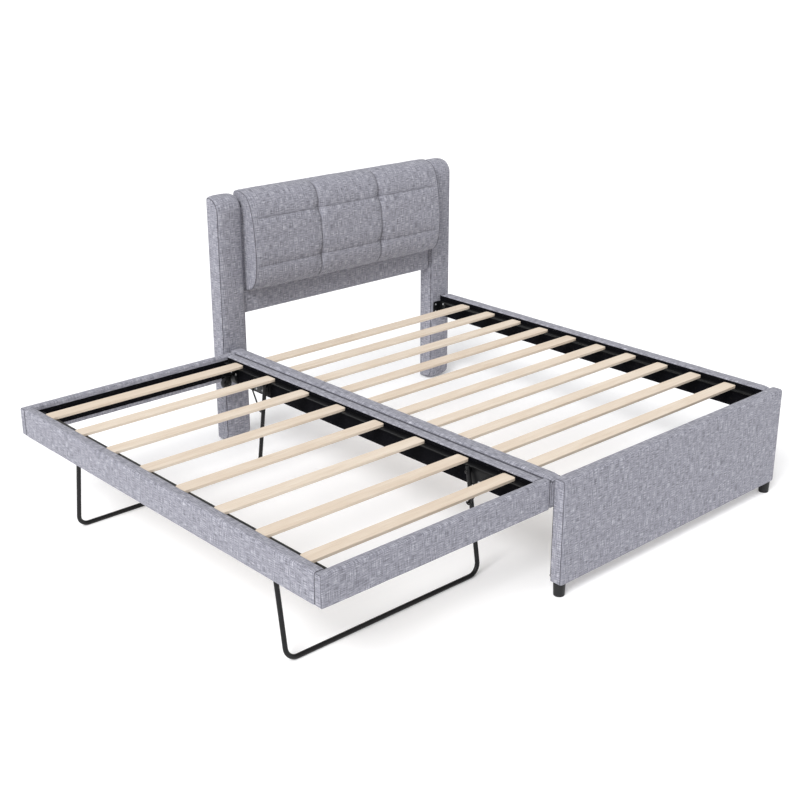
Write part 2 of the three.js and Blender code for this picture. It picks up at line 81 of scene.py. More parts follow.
print("the bed's middle is at x", round(BED_X, 4), "and its front at y", round(FRONT_Y, 4))

# %% [markdown]
# ## The camera
# It stands in front of the trundle's corner and looks down on the bed. A long lens keeps
# the boards nearly parallel. Depth of field stays off and there is no shift.

# %% Camera
CAMERA_AT = (-3.3926, -3.7095, 2.3384)
CAMERA_TURN = -42.47
CAMERA_DOWN = 20.74
LENS = 58.07

camera_data = bpy.data.cameras.new("camera")
camera_data.lens = LENS
camera_data.sensor_width = 36
camera_data.clip_end = 400
camera = bpy.data.objects.new("camera", camera_data)
camera.location = CAMERA_AT
camera.rotation_euler = (math.radians(90 - CAMERA_DOWN), 0, math.radians(CAMERA_TURN))
bpy.context.scene.collection.objects.link(camera)
bpy.context.scene.camera = camera
print("camera", LENS, "mm,", CAMERA_DOWN, "degrees down")

# %% [markdown]
# ## Light and floor
# Studio furniture is lit by big soft sources: a bright room all round, and one broad
# key from the left that makes the faces turned to it a good deal lighter than the
# fronts. A wide sun gives that key the same strength on both ends of the bed.

# %% Colours, lights and floor
def linear(code, alpha=1.0):
    """An sRGB hex code as linear red, green, blue and alpha."""
    values = []
    for i in (1, 3, 5):
        value = int(code[i:i + 2], 16) / 255
        values.append(value / 12.92 if value <= 0.04045 else ((value + 0.055) / 1.055) ** 2.4)
    return (*values, alpha)


def add_node(tree, kind, inputs=None, **settings):
    """Adds a node. Inputs are values or other nodes' outputs, by socket name or number."""
    node = tree.nodes.new(kind)
    for key, value in settings.items():
        setattr(node, key, value)
    for key, value in (inputs or {}).items():
        if isinstance(value, bpy.types.NodeSocket):
            tree.links.new(value, node.inputs[key])
        else:
            node.inputs[key].default_value = value
    return node


ROOM_LIGHT = 0.60
KEY_STRENGTH = 2.9
KEY_FROM = Vector((-0.69, -0.27, 0.65))
KEY_SOFTNESS = 30
FLOOR_GLOW = 0.12

world = bpy.data.worlds.new("studio")
world.use_nodes = True
bpy.context.scene.world = world
world.node_tree.nodes["Background"].inputs["Color"].default_value = linear("#FFFFFF")
world.node_tree.nodes["Background"].inputs["Strength"].default_value = ROOM_LIGHT

key_data = bpy.data.lights.new("key", "SUN")
key_data.energy = KEY_STRENGTH
key_data.angle = math.radians(KEY_SOFTNESS)
key = bpy.data.objects.new("key", key_data)
key.rotation_euler = KEY_FROM.to_track_quat("Z", "Y").to_euler()
bpy.context.scene.collection.objects.link(key)
bpy.context.scene.view_settings.view_transform = "Standard"

FLOOR_HALF = 90
floor_mesh = bpy.data.meshes.new("floor")
floor_corners = [(x * FLOOR_HALF, y * FLOOR_HALF, 0) for x, y in ((-1, -1), (1, -1), (1, 1), (-1, 1))]
floor_mesh.from_pydata(floor_corners, [], [(0, 1, 2, 3)])
floor = bpy.data.objects.new("floor", floor_mesh)
bpy.context.scene.collection.objects.link(floor)
floor_paint = bpy.data.materials.new("matt white floor")
floor_paint.use_nodes = True
floor_shader = floor_paint.node_tree.nodes["Principled BSDF"]
floor_shader.inputs["Base Color"].default_value = linear("#F7F7F8")
floor_shader.inputs["Emission Color"].default_value = linear("#FFFFFF")
floor_shader.inputs["Emission Strength"].default_value = FLOOR_GLOW
floor_shader.inputs["Roughness"].default_value = 0.9
floor_shader.inputs["Specular IOR Level"].default_value = 0.1
floor_mesh.materials.append(floor_paint)
print("room", ROOM_LIGHT, "key", KEY_STRENGTH)

# %% [markdown]
# ## Upholstery linen
# Heathered polyester "linen" is a plain weave of uneven grey yarns. Each yarn has thick
# and thin slubs two or three centimetres long, in lighter and darker greys, so the cloth reads
# as a soft cross-hatch that follows each panel. The real yarns are 0.6 mm apart, too
# fine to show on a whole bed, so the slubs are drawn 2 mm wide. The pattern is laid out
# on each piece's own UV map, "cloth", in metres of cloth.

# %% Material: heathered upholstery linen
SLUB_LENGTH = 30 * MM
SLUB_WIDTH = 2.1 * MM
YARN_PITCH = 1.3 * MM


def start_material(name, roughness, metallic=0.0):
    """A new material, with its node tree and its shader."""
    material = bpy.data.materials.new(name)
    material.use_nodes = True
    shader = material.node_tree.nodes["Principled BSDF"]
    shader.inputs["Roughness"].default_value = roughness
    shader.inputs["Metallic"].default_value = metallic
    return material, material.node_tree, shader


def ramp(tree, value, stops):
    """A colour ramp through (position, hex) stops."""
    node = add_node(tree, "ShaderNodeValToRGB", {"Fac": value})
    elements = node.color_ramp.elements
    while len(elements) < len(stops):
        elements.new(0.5)
    for element, (position, code) in zip(elements, stops):
        element.position = position
        element.color = linear(code)
    return node.outputs["Color"]


def streaks(tree, coordinates, lengths, detail, roughness=0.6):
    """Noise stretched to the given lengths, in metres, along each axis of the coordinates."""
    scale = tuple(1 / length for length in lengths)
    moved = add_node(tree, "ShaderNodeMapping", {"Vector": coordinates, "Scale": scale})
    settings = {"Vector": moved.outputs["Vector"], "Scale": 1.0, "Detail": detail, "Roughness": roughness}
    return add_node(tree, "ShaderNodeTexNoise", settings).outputs["Fac"]


def bump(tree, shader, height, distance, strength=1.0):
    """Raises the shader's surface by a height pattern, in metres."""
    settings = {"Height": height, "Distance": distance, "Strength": strength}
    node = add_node(tree, "ShaderNodeBump", settings)
    tree.links.new(node.outputs["Normal"], shader.inputs["Normal"])


linen, tree, shader = start_material("heathered grey linen weave", 0.92)
shader.inputs["Sheen Weight"].default_value = 0.12
shader.inputs["Sheen Roughness"].default_value = 0.5
shader.inputs["Specular IOR Level"].default_value = 0.25
cloth = add_node(tree, "ShaderNodeUVMap", uv_map="cloth").outputs["UV"]
along = streaks(tree, cloth, (SLUB_LENGTH, SLUB_WIDTH, 1), 0.6)
across = streaks(tree, cloth, (SLUB_WIDTH, SLUB_LENGTH * 1.3, 1), 0.6)
patches = streaks(tree, cloth, (60 * MM, 60 * MM, 1), 2.0)
both = add_node(tree, "ShaderNodeMath", {0: across, 1: 0.8, 2: along}, operation="MULTIPLY_ADD").outputs[0]
shade = add_node(tree, "ShaderNodeMath", {0: patches, 1: 0.08, 2: both}, operation="MULTIPLY_ADD")
shade = shade.outputs[0]
heather = add_node(tree, "ShaderNodeMapRange", {0: shade, 1: 0.62, 2: 1.30}).outputs[0]
yarns = ramp(tree, heather, [(0.0, "#61616A"), (0.36, "#82828C"), (0.62, "#9898A2"), (1.0, "#C2C2CB")])
# Painted shade: the seam attribute mixes the cloth towards near-black #2E2E35 in seam grooves, sewn
# channels and the rails' tucked groove, standing in for their shadow.
seam_shade_amount = add_node(tree, "ShaderNodeAttribute", attribute_name="seam").outputs["Fac"]
colour = add_node(tree, "ShaderNodeMix", {0: seam_shade_amount, 6: yarns, 7: linear("#2E2E35")}, data_type="RGBA")
tree.links.new(colour.outputs[2], shader.inputs["Base Color"])
weave_scale = 1 / YARN_PITCH
weave_at = add_node(tree, "ShaderNodeMapping", {"Vector": cloth, "Scale": (weave_scale, weave_scale, 1)})
weave = add_node(tree, "ShaderNodeTexVoronoi", {
    "Vector": weave_at.outputs["Vector"], "Scale": 1.0, "Randomness": 0.25})
thread_height = add_node(tree, "ShaderNodeMath", {
    0: weave.outputs["Distance"], 1: -0.35, 2: both}, operation="MULTIPLY_ADD")
bump(tree, shader, thread_height.outputs[0], 0.5 * MM, 0.7)
print("linen: slubs", SLUB_LENGTH / MM, "mm long")

# %% [markdown]
# ## Padded boards
# A board of the bed is timber wrapped in foam and then in cloth. Seen end on it is a
# rounded outline; the cloth runs round that outline in one piece, and a panel is sewn in
# at each end, so there is a seam along both end edges. The board is a loft of its
# outline along its length. Near each end the outline turns in round a soft edge, with
# the seam as a narrow groove half-way round, and small puckers where it pulls.
# Painted shade darkens the cloth in that groove, standing in for its shadow.

# %% Outlines and the loft
def rounded_outline(corners, inset, arc_steps, edge_steps):
    """A convex outline moved in by `inset`. Corners are (across, up, radius), anticlockwise."""
    points = []
    count = len(corners)
    places = [Vector(corner[:2]) for corner in corners]
    inward = []
    for i in range(count):
        along_edge = (places[(i + 1) % count] - places[i]).normalized()
        inward.append(Vector((-along_edge.y, along_edge.x)))
    arcs = []
    for i in range(count):
        before, after = inward[i - 1], inward[i]
        mitre = (before + after) / (1 + before.dot(after))
        radius = max(corners[i][2] - inset, 0.4)
        centre = places[i] + mitre * (inset + radius)
        first = math.atan2(-before.y, -before.x)
        turn = (math.atan2(-after.y, -after.x) - first) % (2 * math.pi)
        arc = []
        for k in range(arc_steps + 1):
            angle = first + turn * k / arc_steps
            arc.append(centre + radius * Vector((math.cos(angle), math.sin(angle))))
        arcs.append(arc)
    for i in range(count):
        points.extend(arcs[i])
        start, end = arcs[i][-1], arcs[(i + 1) % count][0]
        for k in range(1, edge_steps[i]):
            points.append(start.lerp(end, k / edge_steps[i]))
    return points


def make_object(name, points, faces, uvs=None):
    """A smooth mesh object at the origin. Points are in metres, uvs one pair for each face corner."""
    mesh = bpy.data.meshes.new(name)
    mesh.from_pydata([tuple(point) for point in points], [], faces)
    if uvs is not None:
        layer = mesh.uv_layers.new(name="cloth")
        layer.data.foreach_set("uv", np.array(uvs, np.float32).ravel())
    mesh.shade_smooth()
    piece = bpy.data.objects.new(name, mesh)
    bpy.context.scene.collection.objects.link(piece)
    return piece


ARC_STEPS = 7
DIP_LENGTH = 40
SEAM_TURNS = (0, 15, 27, 35, 40, 45, 50, 55, 63, 75, 90)
SEAM_DEPTH = 2.3
SEAM_SPREAD = 16
# SEAM_SHADE is how dark the painted shade in the end seam's groove is.
SEAM_SHADE = 0.85


def end_rings(edge, cap_depth, crown):
    """Rings from the middle of an end panel to the board: (along, inset, pull, seam), where seam is the
    painted shade down in the seam.
    """
    rings = []
    for share in (1.0, 0.7, 0.42, 0.2, 0.08):
        inset = edge + (cap_depth - edge) * share
        rings.append((-crown * (1 - (1 - share) ** 2), inset, math.exp(-(inset - edge) / 10), 0.0))
    for turn in reversed(SEAM_TURNS):
        angle = math.radians(turn)
        near = math.exp(-((turn - 45) / SEAM_SPREAD) ** 2)
        reach = edge - SEAM_DEPTH * near
        along = edge - reach * math.sin(angle)
        rings.append((along, edge - reach * math.cos(angle), 1.0, SEAM_SHADE * near))
    return rings


def padded_board(name, corners, start, end, axis, edge=6, cap_depth=18, crown=1.2, step=16,
                 drop=1.0, drop_length=20, dip=0.0):
    """Lofts an outline along X or Y, in bed millimetres, with a sewn panel at each end.

    `drop` is how far the padding falls away towards each end seam, over `drop_length`;
    `dip` lowers only the top there, where the cloth of a rail is pulled down.
    """
    places = [Vector(corner[:2]) for corner in corners]
    steps = []
    for i, spot in enumerate(places):
        steps.append(max(2, round((places[(i + 1) % len(places)] - spot).length / step)))
    whole = rounded_outline(corners, 0, ARC_STEPS, steps)
    size = len(whole)
    around = [0.0]
    for i in range(size):
        around.append(around[-1] + (whole[(i + 1) % size] - whole[i]).length)

    length = end - start
    cap = []
    for along, inset, pull, seam in end_rings(edge, cap_depth, crown):
        cap.append((along, inset + drop, pull, seam))
    stations = [(start + along, *rest) for along, *rest in cap]
    distances = [edge]
    while distances[-1] < length / 2:
        distances.append(distances[-1] + min(step, max(4.5, 0.35 * distances[-1])))
    distances = [value * length / 2 / distances[-1] for value in distances[1:]]
    for value in distances + [length - value for value in reversed(distances[:-1])]:
        near = min(value, length - value)
        fall = drop * max(0, 1 - near / drop_length) ** 2
        stations.append((start + value, fall, math.exp(-max(0, near - edge) / 12), 0.0))
    stations += [(end - along, *rest) for along, *rest in reversed(cap)]
    rings = [rounded_outline(corners, inset, ARC_STEPS, steps) for _, inset, *_ in stations]

    points = []
    seams = []
    seed = sum(ord(letter) for letter in name)
    centre = sum(whole, Vector((0, 0))) / size
    top = max(spot.y for spot in whole)
    for (along, _, pull, seam), ring in zip(stations, rings):
        near = max(0, min(along - start, end - along))
        sink = dip * max(0, 1 - near / DIP_LENGTH) ** 2
        for i, spot in enumerate(ring):
            soft = noise.noise(Vector((along / 95, around[i] / 95, seed)))
            pucker = noise.noise(Vector((along / 16, around[i] / 9, seed + 7)))
            ripple = 0.55 * soft * (1 - 0.6 * pull) + 0.5 * pucker * pull
            spot = spot + (spot - centre).normalized() * ripple
            spot.y -= sink * max(0, 1 - (top - spot.y) / DIP_LENGTH)
            points.append(place(along, *spot) if axis == "X" else place(spot.x, along, spot.y))
            seams.append(seam)

    faces = []
    uvs = []
    seam_ring = len(cap) - len(SEAM_TURNS) // 2 - 1
    last = len(stations) - 1
    for r in range(last):
        on_cap = r < seam_ring or r >= last - seam_ring
        for i in range(size):
            j = (i + 1) % size
            faces.append((r * size + i, r * size + j, (r + 1) * size + j, (r + 1) * size + i))
            for ring, k in ((r, i), (r, i + 1), (r + 1, i + 1), (r + 1, i)):
                spot = rings[ring][k % size]
                uvs.append(tuple(spot * MM) if on_cap else (stations[ring][0] * MM, around[k] * MM))
    for ring, order in ((0, range(size - 1, -1, -1)), (last, range(size))):
        faces.append(tuple(ring * size + i for i in order))
        uvs.extend(tuple(rings[ring][i] * MM) for i in order)
    piece = make_object(name, points, faces, uvs)
    store_painted_shade(piece, seams)
    face_outwards(piece)
    piece.data.materials.append(linen)
    return piece


def shade_groove(piece, face_x, height, half):
    """Paints shade on the tucked line just below the top edge of a rail's outer face, the shadow of the
    groove it makes with the next rail.
    """
    values = np.empty(len(piece.data.vertices), np.float32)
    piece.data.attributes["seam"].data.foreach_get("value", values)
    for i, vertex in enumerate(piece.data.vertices):
        outside = (vertex.co.x - BED_X) / MM < face_x + 9
        if outside and abs(vertex.co.z / MM - height) < half:
            values[i] = max(values[i], 0.8)
    piece.data.attributes["seam"].data.foreach_set("value", values)


def store_painted_shade(piece, seams):
    """Stores how much painted shade each point gets, the shadow down in seams and creases, which darkens
    the cloth's colour.
    """
    attribute = piece.data.attributes.new("seam", "FLOAT", "POINT")
    attribute.data.foreach_set("value", np.array(seams, np.float32))


def face_outwards(piece):
    """Turns every closed part of a mesh to face outwards."""
    shape = bmesh.new()
    shape.from_mesh(piece.data)
    bmesh.ops.recalc_face_normals(shape, faces=shape.faces)
    shape.to_mesh(piece.data)
    shape.free()


def board_corners(low, high, radii):
    """The four corners of a section from low to high, with radii from low-low anticlockwise."""
    (a0, b0), (a1, b1) = low, high
    return [(a0, b0, radii[0]), (a1, b0, radii[1]), (a1, b1, radii[2]), (a0, b1, radii[3])]


# %% Footboard, side rails, headboard wings and panel
low, high = node_box("footboard")
corners = board_corners((low[1], low[2]), (high[1], high[2]), (4, 4, 14, 14))
footboard = padded_board(
    "footboard_cover", corners, low[0], high[0], "X", cap_depth=18, drop=2, drop_length=22)
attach(footboard, "main_bed")
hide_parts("footboard")

for name in ("side_rail_near", "side_rail_far"):
    low, high = node_box(name)
    top_radii = (14, 5) if name == "side_rail_far" else (5, 16)
    corners = board_corners((low[0], low[2]), (high[0], high[2]), (3, 3, *top_radii))
    rail = padded_board(f"{name}_cover", corners, low[1], high[1], "Y", dip=11)
    if name == "side_rail_near":
        shade_groove(rail, low[0], high[2] - 12, 4)
    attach(rail, "main_bed")
    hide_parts(name)

for name in ("wing_left", "wing_right"):
    low, high = node_box(name)
    corners = board_corners((low[1], low[2]), (high[1], high[2]), (45, 3, 16, 68))
    wing = padded_board(
        f"{name}_cover", corners, low[0], high[0], "X", edge=7, crown=2.5, drop=7, drop_length=50)
    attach(wing, "main_bed")
    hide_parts(name)

low, high = node_box("headboard_panel")
corners = board_corners((low[1], low[2]), (high[1], high[2]), (10, 4, 4, 8))
panel = padded_board("headboard_panel_cover", corners, low[0], high[0], "X", edge=8)
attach(panel, "main_bed")
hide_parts("headboard_panel")

# %% Trundle rails
for name in ("trundle_rail_foot", "trundle_rail_head"):
    low, high = node_box(name)
    corners = board_corners((low[1], low[2]), (high[1], high[2]), (3, 3, 9, 9))
    rail = padded_board(f"{name}_cover", corners, low[0], high[0], "X", edge=4, cap_depth=11, drop=0.8)
    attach(rail, "trundle_frame")
    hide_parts(name)

for name in ("trundle_rail_outer", "trundle_rail_inner"):
    low, high = node_box(name)
    top_radii = (20, 5) if name == "trundle_rail_inner" else (18, 12)
    corners = board_corners((low[0], low[2]), (high[0], high[2]), (3, 3, *top_radii))
    rail = padded_board(f"{name}_cover", corners, low[1], high[1], "Y", edge=4, drop=1.5)
    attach(rail, "trundle_frame")
    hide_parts(name)

# %% [markdown]
# ## The head cushion
# The cushion is a foam block with a D-shaped section, deep at the lower third and rolled
# over the headboard's top edge. It starts as a plain block a little smaller than the
# finished cushion. A cloth simulation with air pressure inside then fills it out, and a
# limit on how far a point may move keeps its section. The sewn channels come after that:
# two upright and two level ones, which divide the face into nine soft squares.

# %% Cushion block and inflation
CUSHION_PROFILE = [
    (2036, 723), (2036, 850), (2036, 980), (2036, 1099), (2098, 1101), (2100, 1125), (2099, 1152),
    (2088, 1166), (2066, 1169), (2038, 1166), (2010, 1154), (1991, 1132), (1976, 1100), (1966, 1065),
    (1958, 1020), (1953, 975), (1948, 925), (1946, 880), (1948, 835), (1953, 795), (1962, 760),
    (1978, 737), (2002, 725)]
CUSHION_INSET = 7
CUSHION_VOXEL = 8
CUSHION_RISE = 7
PUMP = 0.3
CUSHION_CORE = Vector((2010, 1125))
COVER_STEP = 9


def smooth_loop(corners, step):
    """A closed curve through the corners, with points about `step` apart."""
    dense = []
    count = len(corners)
    for i in range(count):
        a, b, c, d = [Vector(corners[(i + k) % count]) for k in (-1, 0, 1, 2)]
        for k in range(8):
            t = k / 8
            dense.append(0.5 * ((2 * b) + (c - a) * t + (2 * a - 5 * b + 4 * c - d) * t ** 2
                                + (3 * b - a - 3 * c + d) * t ** 3))
    walked = [0.0]
    for i in range(len(dense)):
        walked.append(walked[-1] + (dense[(i + 1) % len(dense)] - dense[i]).length)
    size = round(walked[-1] / step)
    even = []
    i = 0
    for k in range(size):
        goal = walked[-1] * k / size
        while walked[i + 1] < goal:
            i += 1
        share = (goal - walked[i]) / (walked[i + 1] - walked[i])
        even.append(dense[i].lerp(dense[(i + 1) % len(dense)], share))
    return even


def inset_loop(loop, inset):
    """A closed outline moved in by `inset`; the outline runs clockwise."""
    moved = []
    for i, spot in enumerate(loop):
        before = (spot - loop[i - 1]).normalized()
        after = (loop[(i + 1) % len(loop)] - spot).normalized()
        n1 = Vector((before.y, -before.x))
        n2 = Vector((after.y, -after.x))
        moved.append(spot + (n1 + n2) / max(0.4, 1 + n1.dot(n2)) * inset)
    return moved


def plain_mesh(piece):
    """Turns the object with its modifiers into a plain mesh and takes the modifiers off."""
    graph = bpy.context.evaluated_depsgraph_get()
    mesh = bpy.data.meshes.new_from_object(piece.evaluated_get(graph))
    mesh.name = piece.name
    piece.modifiers.clear()
    old = piece.data
    piece.data = mesh
    bpy.data.meshes.remove(old)
    return piece


def coordinates(mesh, kind="co"):
    """A mesh's points, or its normals, as an array."""
    values = np.empty(len(mesh.vertices) * 3)
    mesh.vertices.foreach_get(kind, values)
    return values.reshape(-1, 3)


def inflate(piece, rise, frames=20):
    """Fills a closed mesh with air for a few frames; no point moves further than `rise`, in metres."""
    start = coordinates(piece.data)
    air = piece.modifiers.new("air", "CLOTH")
    air.settings.use_pressure = True
    air.settings.uniform_pressure_force = PUMP
    air.settings.tension_stiffness = 80
    air.settings.compression_stiffness = 80
    air.settings.bending_stiffness = 10
    air.settings.effector_weights.gravity = 0
    for frame_number in range(1, frames + 1):
        bpy.context.scene.frame_set(frame_number)
    graph = bpy.context.evaluated_depsgraph_get()
    moved = coordinates(piece.evaluated_get(graph).data)
    piece.modifiers.clear()
    bpy.context.scene.frame_set(1)
    shift = moved - start
    length = np.linalg.norm(shift, axis=1, keepdims=True)
    shift *= np.minimum(1, rise / np.maximum(length, 1e-9))
    piece.data.vertices.foreach_set("co", (start + shift).ravel())
    print(piece.name, "rose", round(float(length.max()) / MM, 1), "mm before the limit")


low, high = node_box("headboard_cushion")
CUSHION_HALF = high[0]
profile = smooth_loop(CUSHION_PROFILE, COVER_STEP)
filling_loop = inset_loop(profile, CUSHION_INSET)
size = len(filling_loop)
filling_end = CUSHION_HALF - CUSHION_INSET
points = [place(x, *spot) for x in (-filling_end, filling_end) for spot in filling_loop]
faces = [tuple(range(size)), tuple(range(2 * size - 1, size - 1, -1))]
faces += [(i, size + i, size + (i + 1) % size, (i + 1) % size) for i in range(size)]
filling = make_object("cushion_filling", points, faces)
face_outwards(filling)
remesh = filling.modifiers.new("even squares", "REMESH")
remesh.mode = "VOXEL"
remesh.voxel_size = CUSHION_VOXEL * MM
plain_mesh(filling)
inflate(filling, CUSHION_RISE * MM)
filling_tree = BVHTree.FromPolygons(
    [vertex.co.copy() for vertex in filling.data.vertices],
    [tuple(face.vertices) for face in filling.data.polygons])

# %% The sewn cover, laid over the filling
CHANNEL_X = (-187, 187)
CHANNEL_Z = (838, 1055)
UPRIGHT_DEPTH = 4.5
LEVEL_DEPTH = 2.6
CHANNEL_WIDTH = 6.5
DIMPLE_DEPTH = 15
DIMPLE_REACH = 30
PILLOW = 5
COVER_EDGE = 6
END_SEAM_DEPTH = 2.6
CUSHION_BACK = 2036


def lay_cover():
    """A clean grid round the cushion, with a ring of points along each end seam."""
    rings = []
    for share in (0.12, 0.35, 0.6, 0.82):
        rings.append((CUSHION_HALF, None, share))
    for turn in (90, 45, 0):
        angle = math.radians(turn)
        along = CUSHION_HALF - COVER_EDGE * (1 - math.sin(angle))
        rings.append((along, COVER_EDGE * (1 - math.cos(angle)), None))
    inner = CUSHION_HALF - COVER_EDGE
    count = round(2 * inner / COVER_STEP)
    middle = [inner - 2 * inner * k / count for k in range(1, count)]
    rings += [(x, 0.0, None) for x in middle]
    rings += [(-along, inset, share) for along, inset, share in reversed(rings[:7])]
    edge_ring = inset_loop(profile, COVER_EDGE)
    points = []
    seams = []
    for x, inset, share in rings:
        for i, spot in enumerate(profile):
            if share is None:
                flat = spot.lerp(edge_ring[i], inset / COVER_EDGE)
            else:
                flat = CUSHION_CORE.lerp(edge_ring[i], share)
            points.append(place(x, *flat))
            # Points in the end seam's groove get full painted shade, standing in for its shadow; the same
            # value marks the seam to draw in.
            seams.append(1.0 if share is None and 1 < inset < 5 else 0.0)
    size = len(profile)
    around = [COVER_STEP * i for i in range(size + 1)]
    faces = []
    uvs = []
    last = len(rings) - 1
    for r in range(last):
        on_end = r < 5 or r >= last - 5
        for i in range(size):
            j = (i + 1) % size
            faces.append((r * size + i, r * size + j, (r + 1) * size + j, (r + 1) * size + i))
            for ring, k in ((r, i), (r, i + 1), (r + 1, i + 1), (r + 1, i)):
                spot = points[ring * size + k % size]
                uvs.append((spot.y, spot.z) if on_end else (rings[ring][0] * MM, around[k] * MM))
    for ring in (0, last):
        pole = len(points)
        points.append(place(rings[ring][0], *CUSHION_CORE))
        seams.append(0.0)
        for i in range(size):
            face = (pole, ring * size + i, ring * size + (i + 1) % size)
            faces.append(face)
            uvs.extend((points[k].y, points[k].z) for k in face)
    cover = make_object("head_cushion", points, faces, uvs)
    store_painted_shade(cover, seams)
    face_outwards(cover)
    return cover


def line_bump(distance, width):
    """1 on a line and 0 away from it."""
    return np.exp(-(distance / width) ** 2)


def sew_channels(mesh):
    """Draws the cover in along its channels and end seams, and rounds the squares between."""
    spots = coordinates(mesh)
    normals = coordinates(mesh, "normal")
    for i, vertex in enumerate(mesh.vertices):
        hit, _, _, distance = filling_tree.find_nearest(vertex.co)
        if hit is not None and distance < 20 * MM:
            reach = (hit - vertex.co).dot(Vector(normals[i]))
            spots[i] += normals[i] * max(-4 * MM, min(4 * MM, reach + 1 * MM))
    x = (spots[:, 0] - BED_X) / MM
    y = (spots[:, 1] - FRONT_Y) / MM
    z = spots[:, 2] / MM
    front = np.clip((2085 - y) / 30, 0, 1) * np.clip((normals[:, 2] - normals[:, 1] + 0.5) / 0.5, 0, 1)
    front *= np.clip(1.6 - 2 * np.abs(normals[:, 0]), 0, 1)
    to_upright = np.min([np.abs(x - line) for line in CHANNEL_X], axis=0)
    to_level = np.min([np.abs(z - line) for line in CHANNEL_Z], axis=0)
    to_end = CUSHION_HALF - np.abs(x)
    level_fade = np.clip((to_end - 12) / 30, 0, 1) * np.clip((2030 - y) / 20, 0, 1)
    round_x = 1 - np.clip(1 - np.minimum(to_upright, to_end) / 80, 0, 1) ** 2
    round_z = 1 - np.clip(1 - to_level / 55, 0, 1) ** 2 * level_fade
    pull = UPRIGHT_DEPTH * line_bump(to_upright, CHANNEL_WIDTH)
    pull = np.maximum(pull, LEVEL_DEPTH * line_bump(to_level, CHANNEL_WIDTH) * level_fade)
    dimple = np.zeros(len(x))
    for line_x in CHANNEL_X:
        for line_z in CHANNEL_Z:
            dimple = np.maximum(dimple, line_bump(np.hypot((x - line_x) * 1.25, z - line_z), DIMPLE_REACH))
    move = front * (PILLOW * (round_x * round_z - 0.8) - pull - DIMPLE_DEPTH * dimple)
    spots_mm = np.stack([x, y, z], 1)
    folds = np.array([noise.noise(Vector((a / 70, b / 60, c / 17))) for a, b, c in spots_mm])
    sag = np.array([noise.noise(Vector((a / 90, b / 90, c / 70 + 9))) for a, b, c in spots_mm])
    gather = np.array([noise.noise(Vector((a / 14, b / 30, c / 14 + 40))) for a, b, c in spots_mm])
    near_seam = np.maximum(line_bump(to_upright, 22), line_bump(to_level, 18) * level_fade) * front
    near_seam = np.maximum(near_seam, line_bump(to_end, 16))
    near_fold = np.exp(-to_upright / 70) + np.exp(-to_end / 60)
    move += 0.9 * sag + 1.3 * folds * near_fold * front + 0.7 * gather * near_seam
    # The painted-shade values also mark the end seams, which are drawn in below.
    seams = np.empty(len(x), np.float32)
    mesh.attributes["seam"].data.foreach_get("value", seams)
    move -= END_SEAM_DEPTH * (seams > 0.3)
    spots += normals * (move * MM)[:, None]
    behind = (z < 1100) & (spots[:, 1] > FRONT_Y + CUSHION_BACK * MM)
    spots[behind, 1] = FRONT_Y + CUSHION_BACK * MM
    mesh.vertices.foreach_set("co", spots.ravel())
    mesh.update()


def shade_channels(mesh):
    """Darkens the cloth down in the channels, where little light comes."""
    spots = coordinates(mesh)
    x = (spots[:, 0] - BED_X) / MM
    z = spots[:, 2] / MM
    ahead = (spots[:, 1] < FRONT_Y + 2040 * MM) & (np.abs(x) < CUSHION_HALF - COVER_EDGE)
    to_upright = np.min([np.abs(x - line) for line in CHANNEL_X], axis=0)
    to_level = np.min([np.abs(z - line) for line in CHANNEL_Z], axis=0)
    level_fade = np.clip((CUSHION_HALF - np.abs(x) - 12) / 30, 0, 1)
    lines = np.maximum(0.6 * line_bump(to_upright, 3.6), 0.3 * line_bump(to_level, 3.4) * level_fade)
    seams = np.empty(len(x), np.float32)
    mesh.attributes["seam"].data.foreach_get("value", seams)
    seams = np.maximum(seams, lines * ahead)
    mesh.attributes["seam"].data.foreach_set("value", seams.astype(np.float32))


cushion = lay_cover()
sew_channels(cushion.data)
finer = cushion.modifiers.new("finer", "SUBSURF")
finer.levels = 1
finer.render_levels = 1
plain_mesh(cushion)
shade_channels(cushion.data)
bpy.data.objects.remove(filling)
cushion.data.shade_smooth()
cushion.data.materials.append(linen)
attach(cushion, "main_bed")
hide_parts("headboard_cushion")
print("cushion cover has", len(cushion.data.polygons), "faces")

# %% [markdown]
# ## Slats
# The mattress lies on planed pine slats 60 mm wide and 12 mm thick, with their corners
# rounded in plan and their edges just eased. They repeat at an even pitch, so Geometry
# Nodes makes them: one slat is drawn as a rounded rectangle, filled and raised in three
# lifts (eased edge, side, eased edge), then set out along a line. Each slat gets its own
# random number, which shifts its grain and its tone.

# %% Material: planed pine
# Sawn and planed softwood: pale straw with thin darker growth lines along the slat, a
# soft satin face and no varnish. Growth lines are 2 to 4 mm apart.
pine, tree, shader = start_material("planed pine", 0.55)
shader.inputs["Specular IOR Level"].default_value = 0.3
spot = add_node(tree, "ShaderNodeTexCoord").outputs["Object"]
board = add_node(tree, "ShaderNodeAttribute", attribute_name="board").outputs["Fac"]
shift = add_node(tree, "ShaderNodeCombineXYZ", {"X": board, "Y": board, "Z": board}).outputs["Vector"]
own = add_node(tree, "ShaderNodeVectorMath", {
    0: shift, 1: (9.0, 3.0, 5.0), 2: spot}, operation="MULTIPLY_ADD")
own = own.outputs["Vector"]
growth = streaks(tree, own, (420 * MM, 3.2 * MM, 5 * MM), 2.0)
fibre = streaks(tree, own, (60 * MM, 0.9 * MM, 0.9 * MM), 3.0)
cloudy = streaks(tree, own, (180 * MM, 30 * MM, 30 * MM), 1.0)
grain = fibre
for layer, weight in ((growth, 0.65), (cloudy, 0.45), (board, 0.16)):
    grain = add_node(tree, "ShaderNodeMath", {0: layer, 1: weight, 2: grain}, operation="MULTIPLY_ADD")
    grain = grain.outputs[0]
grain = add_node(tree, "ShaderNodeMapRange", {0: grain, 1: 0.72, 2: 1.45}).outputs[0]
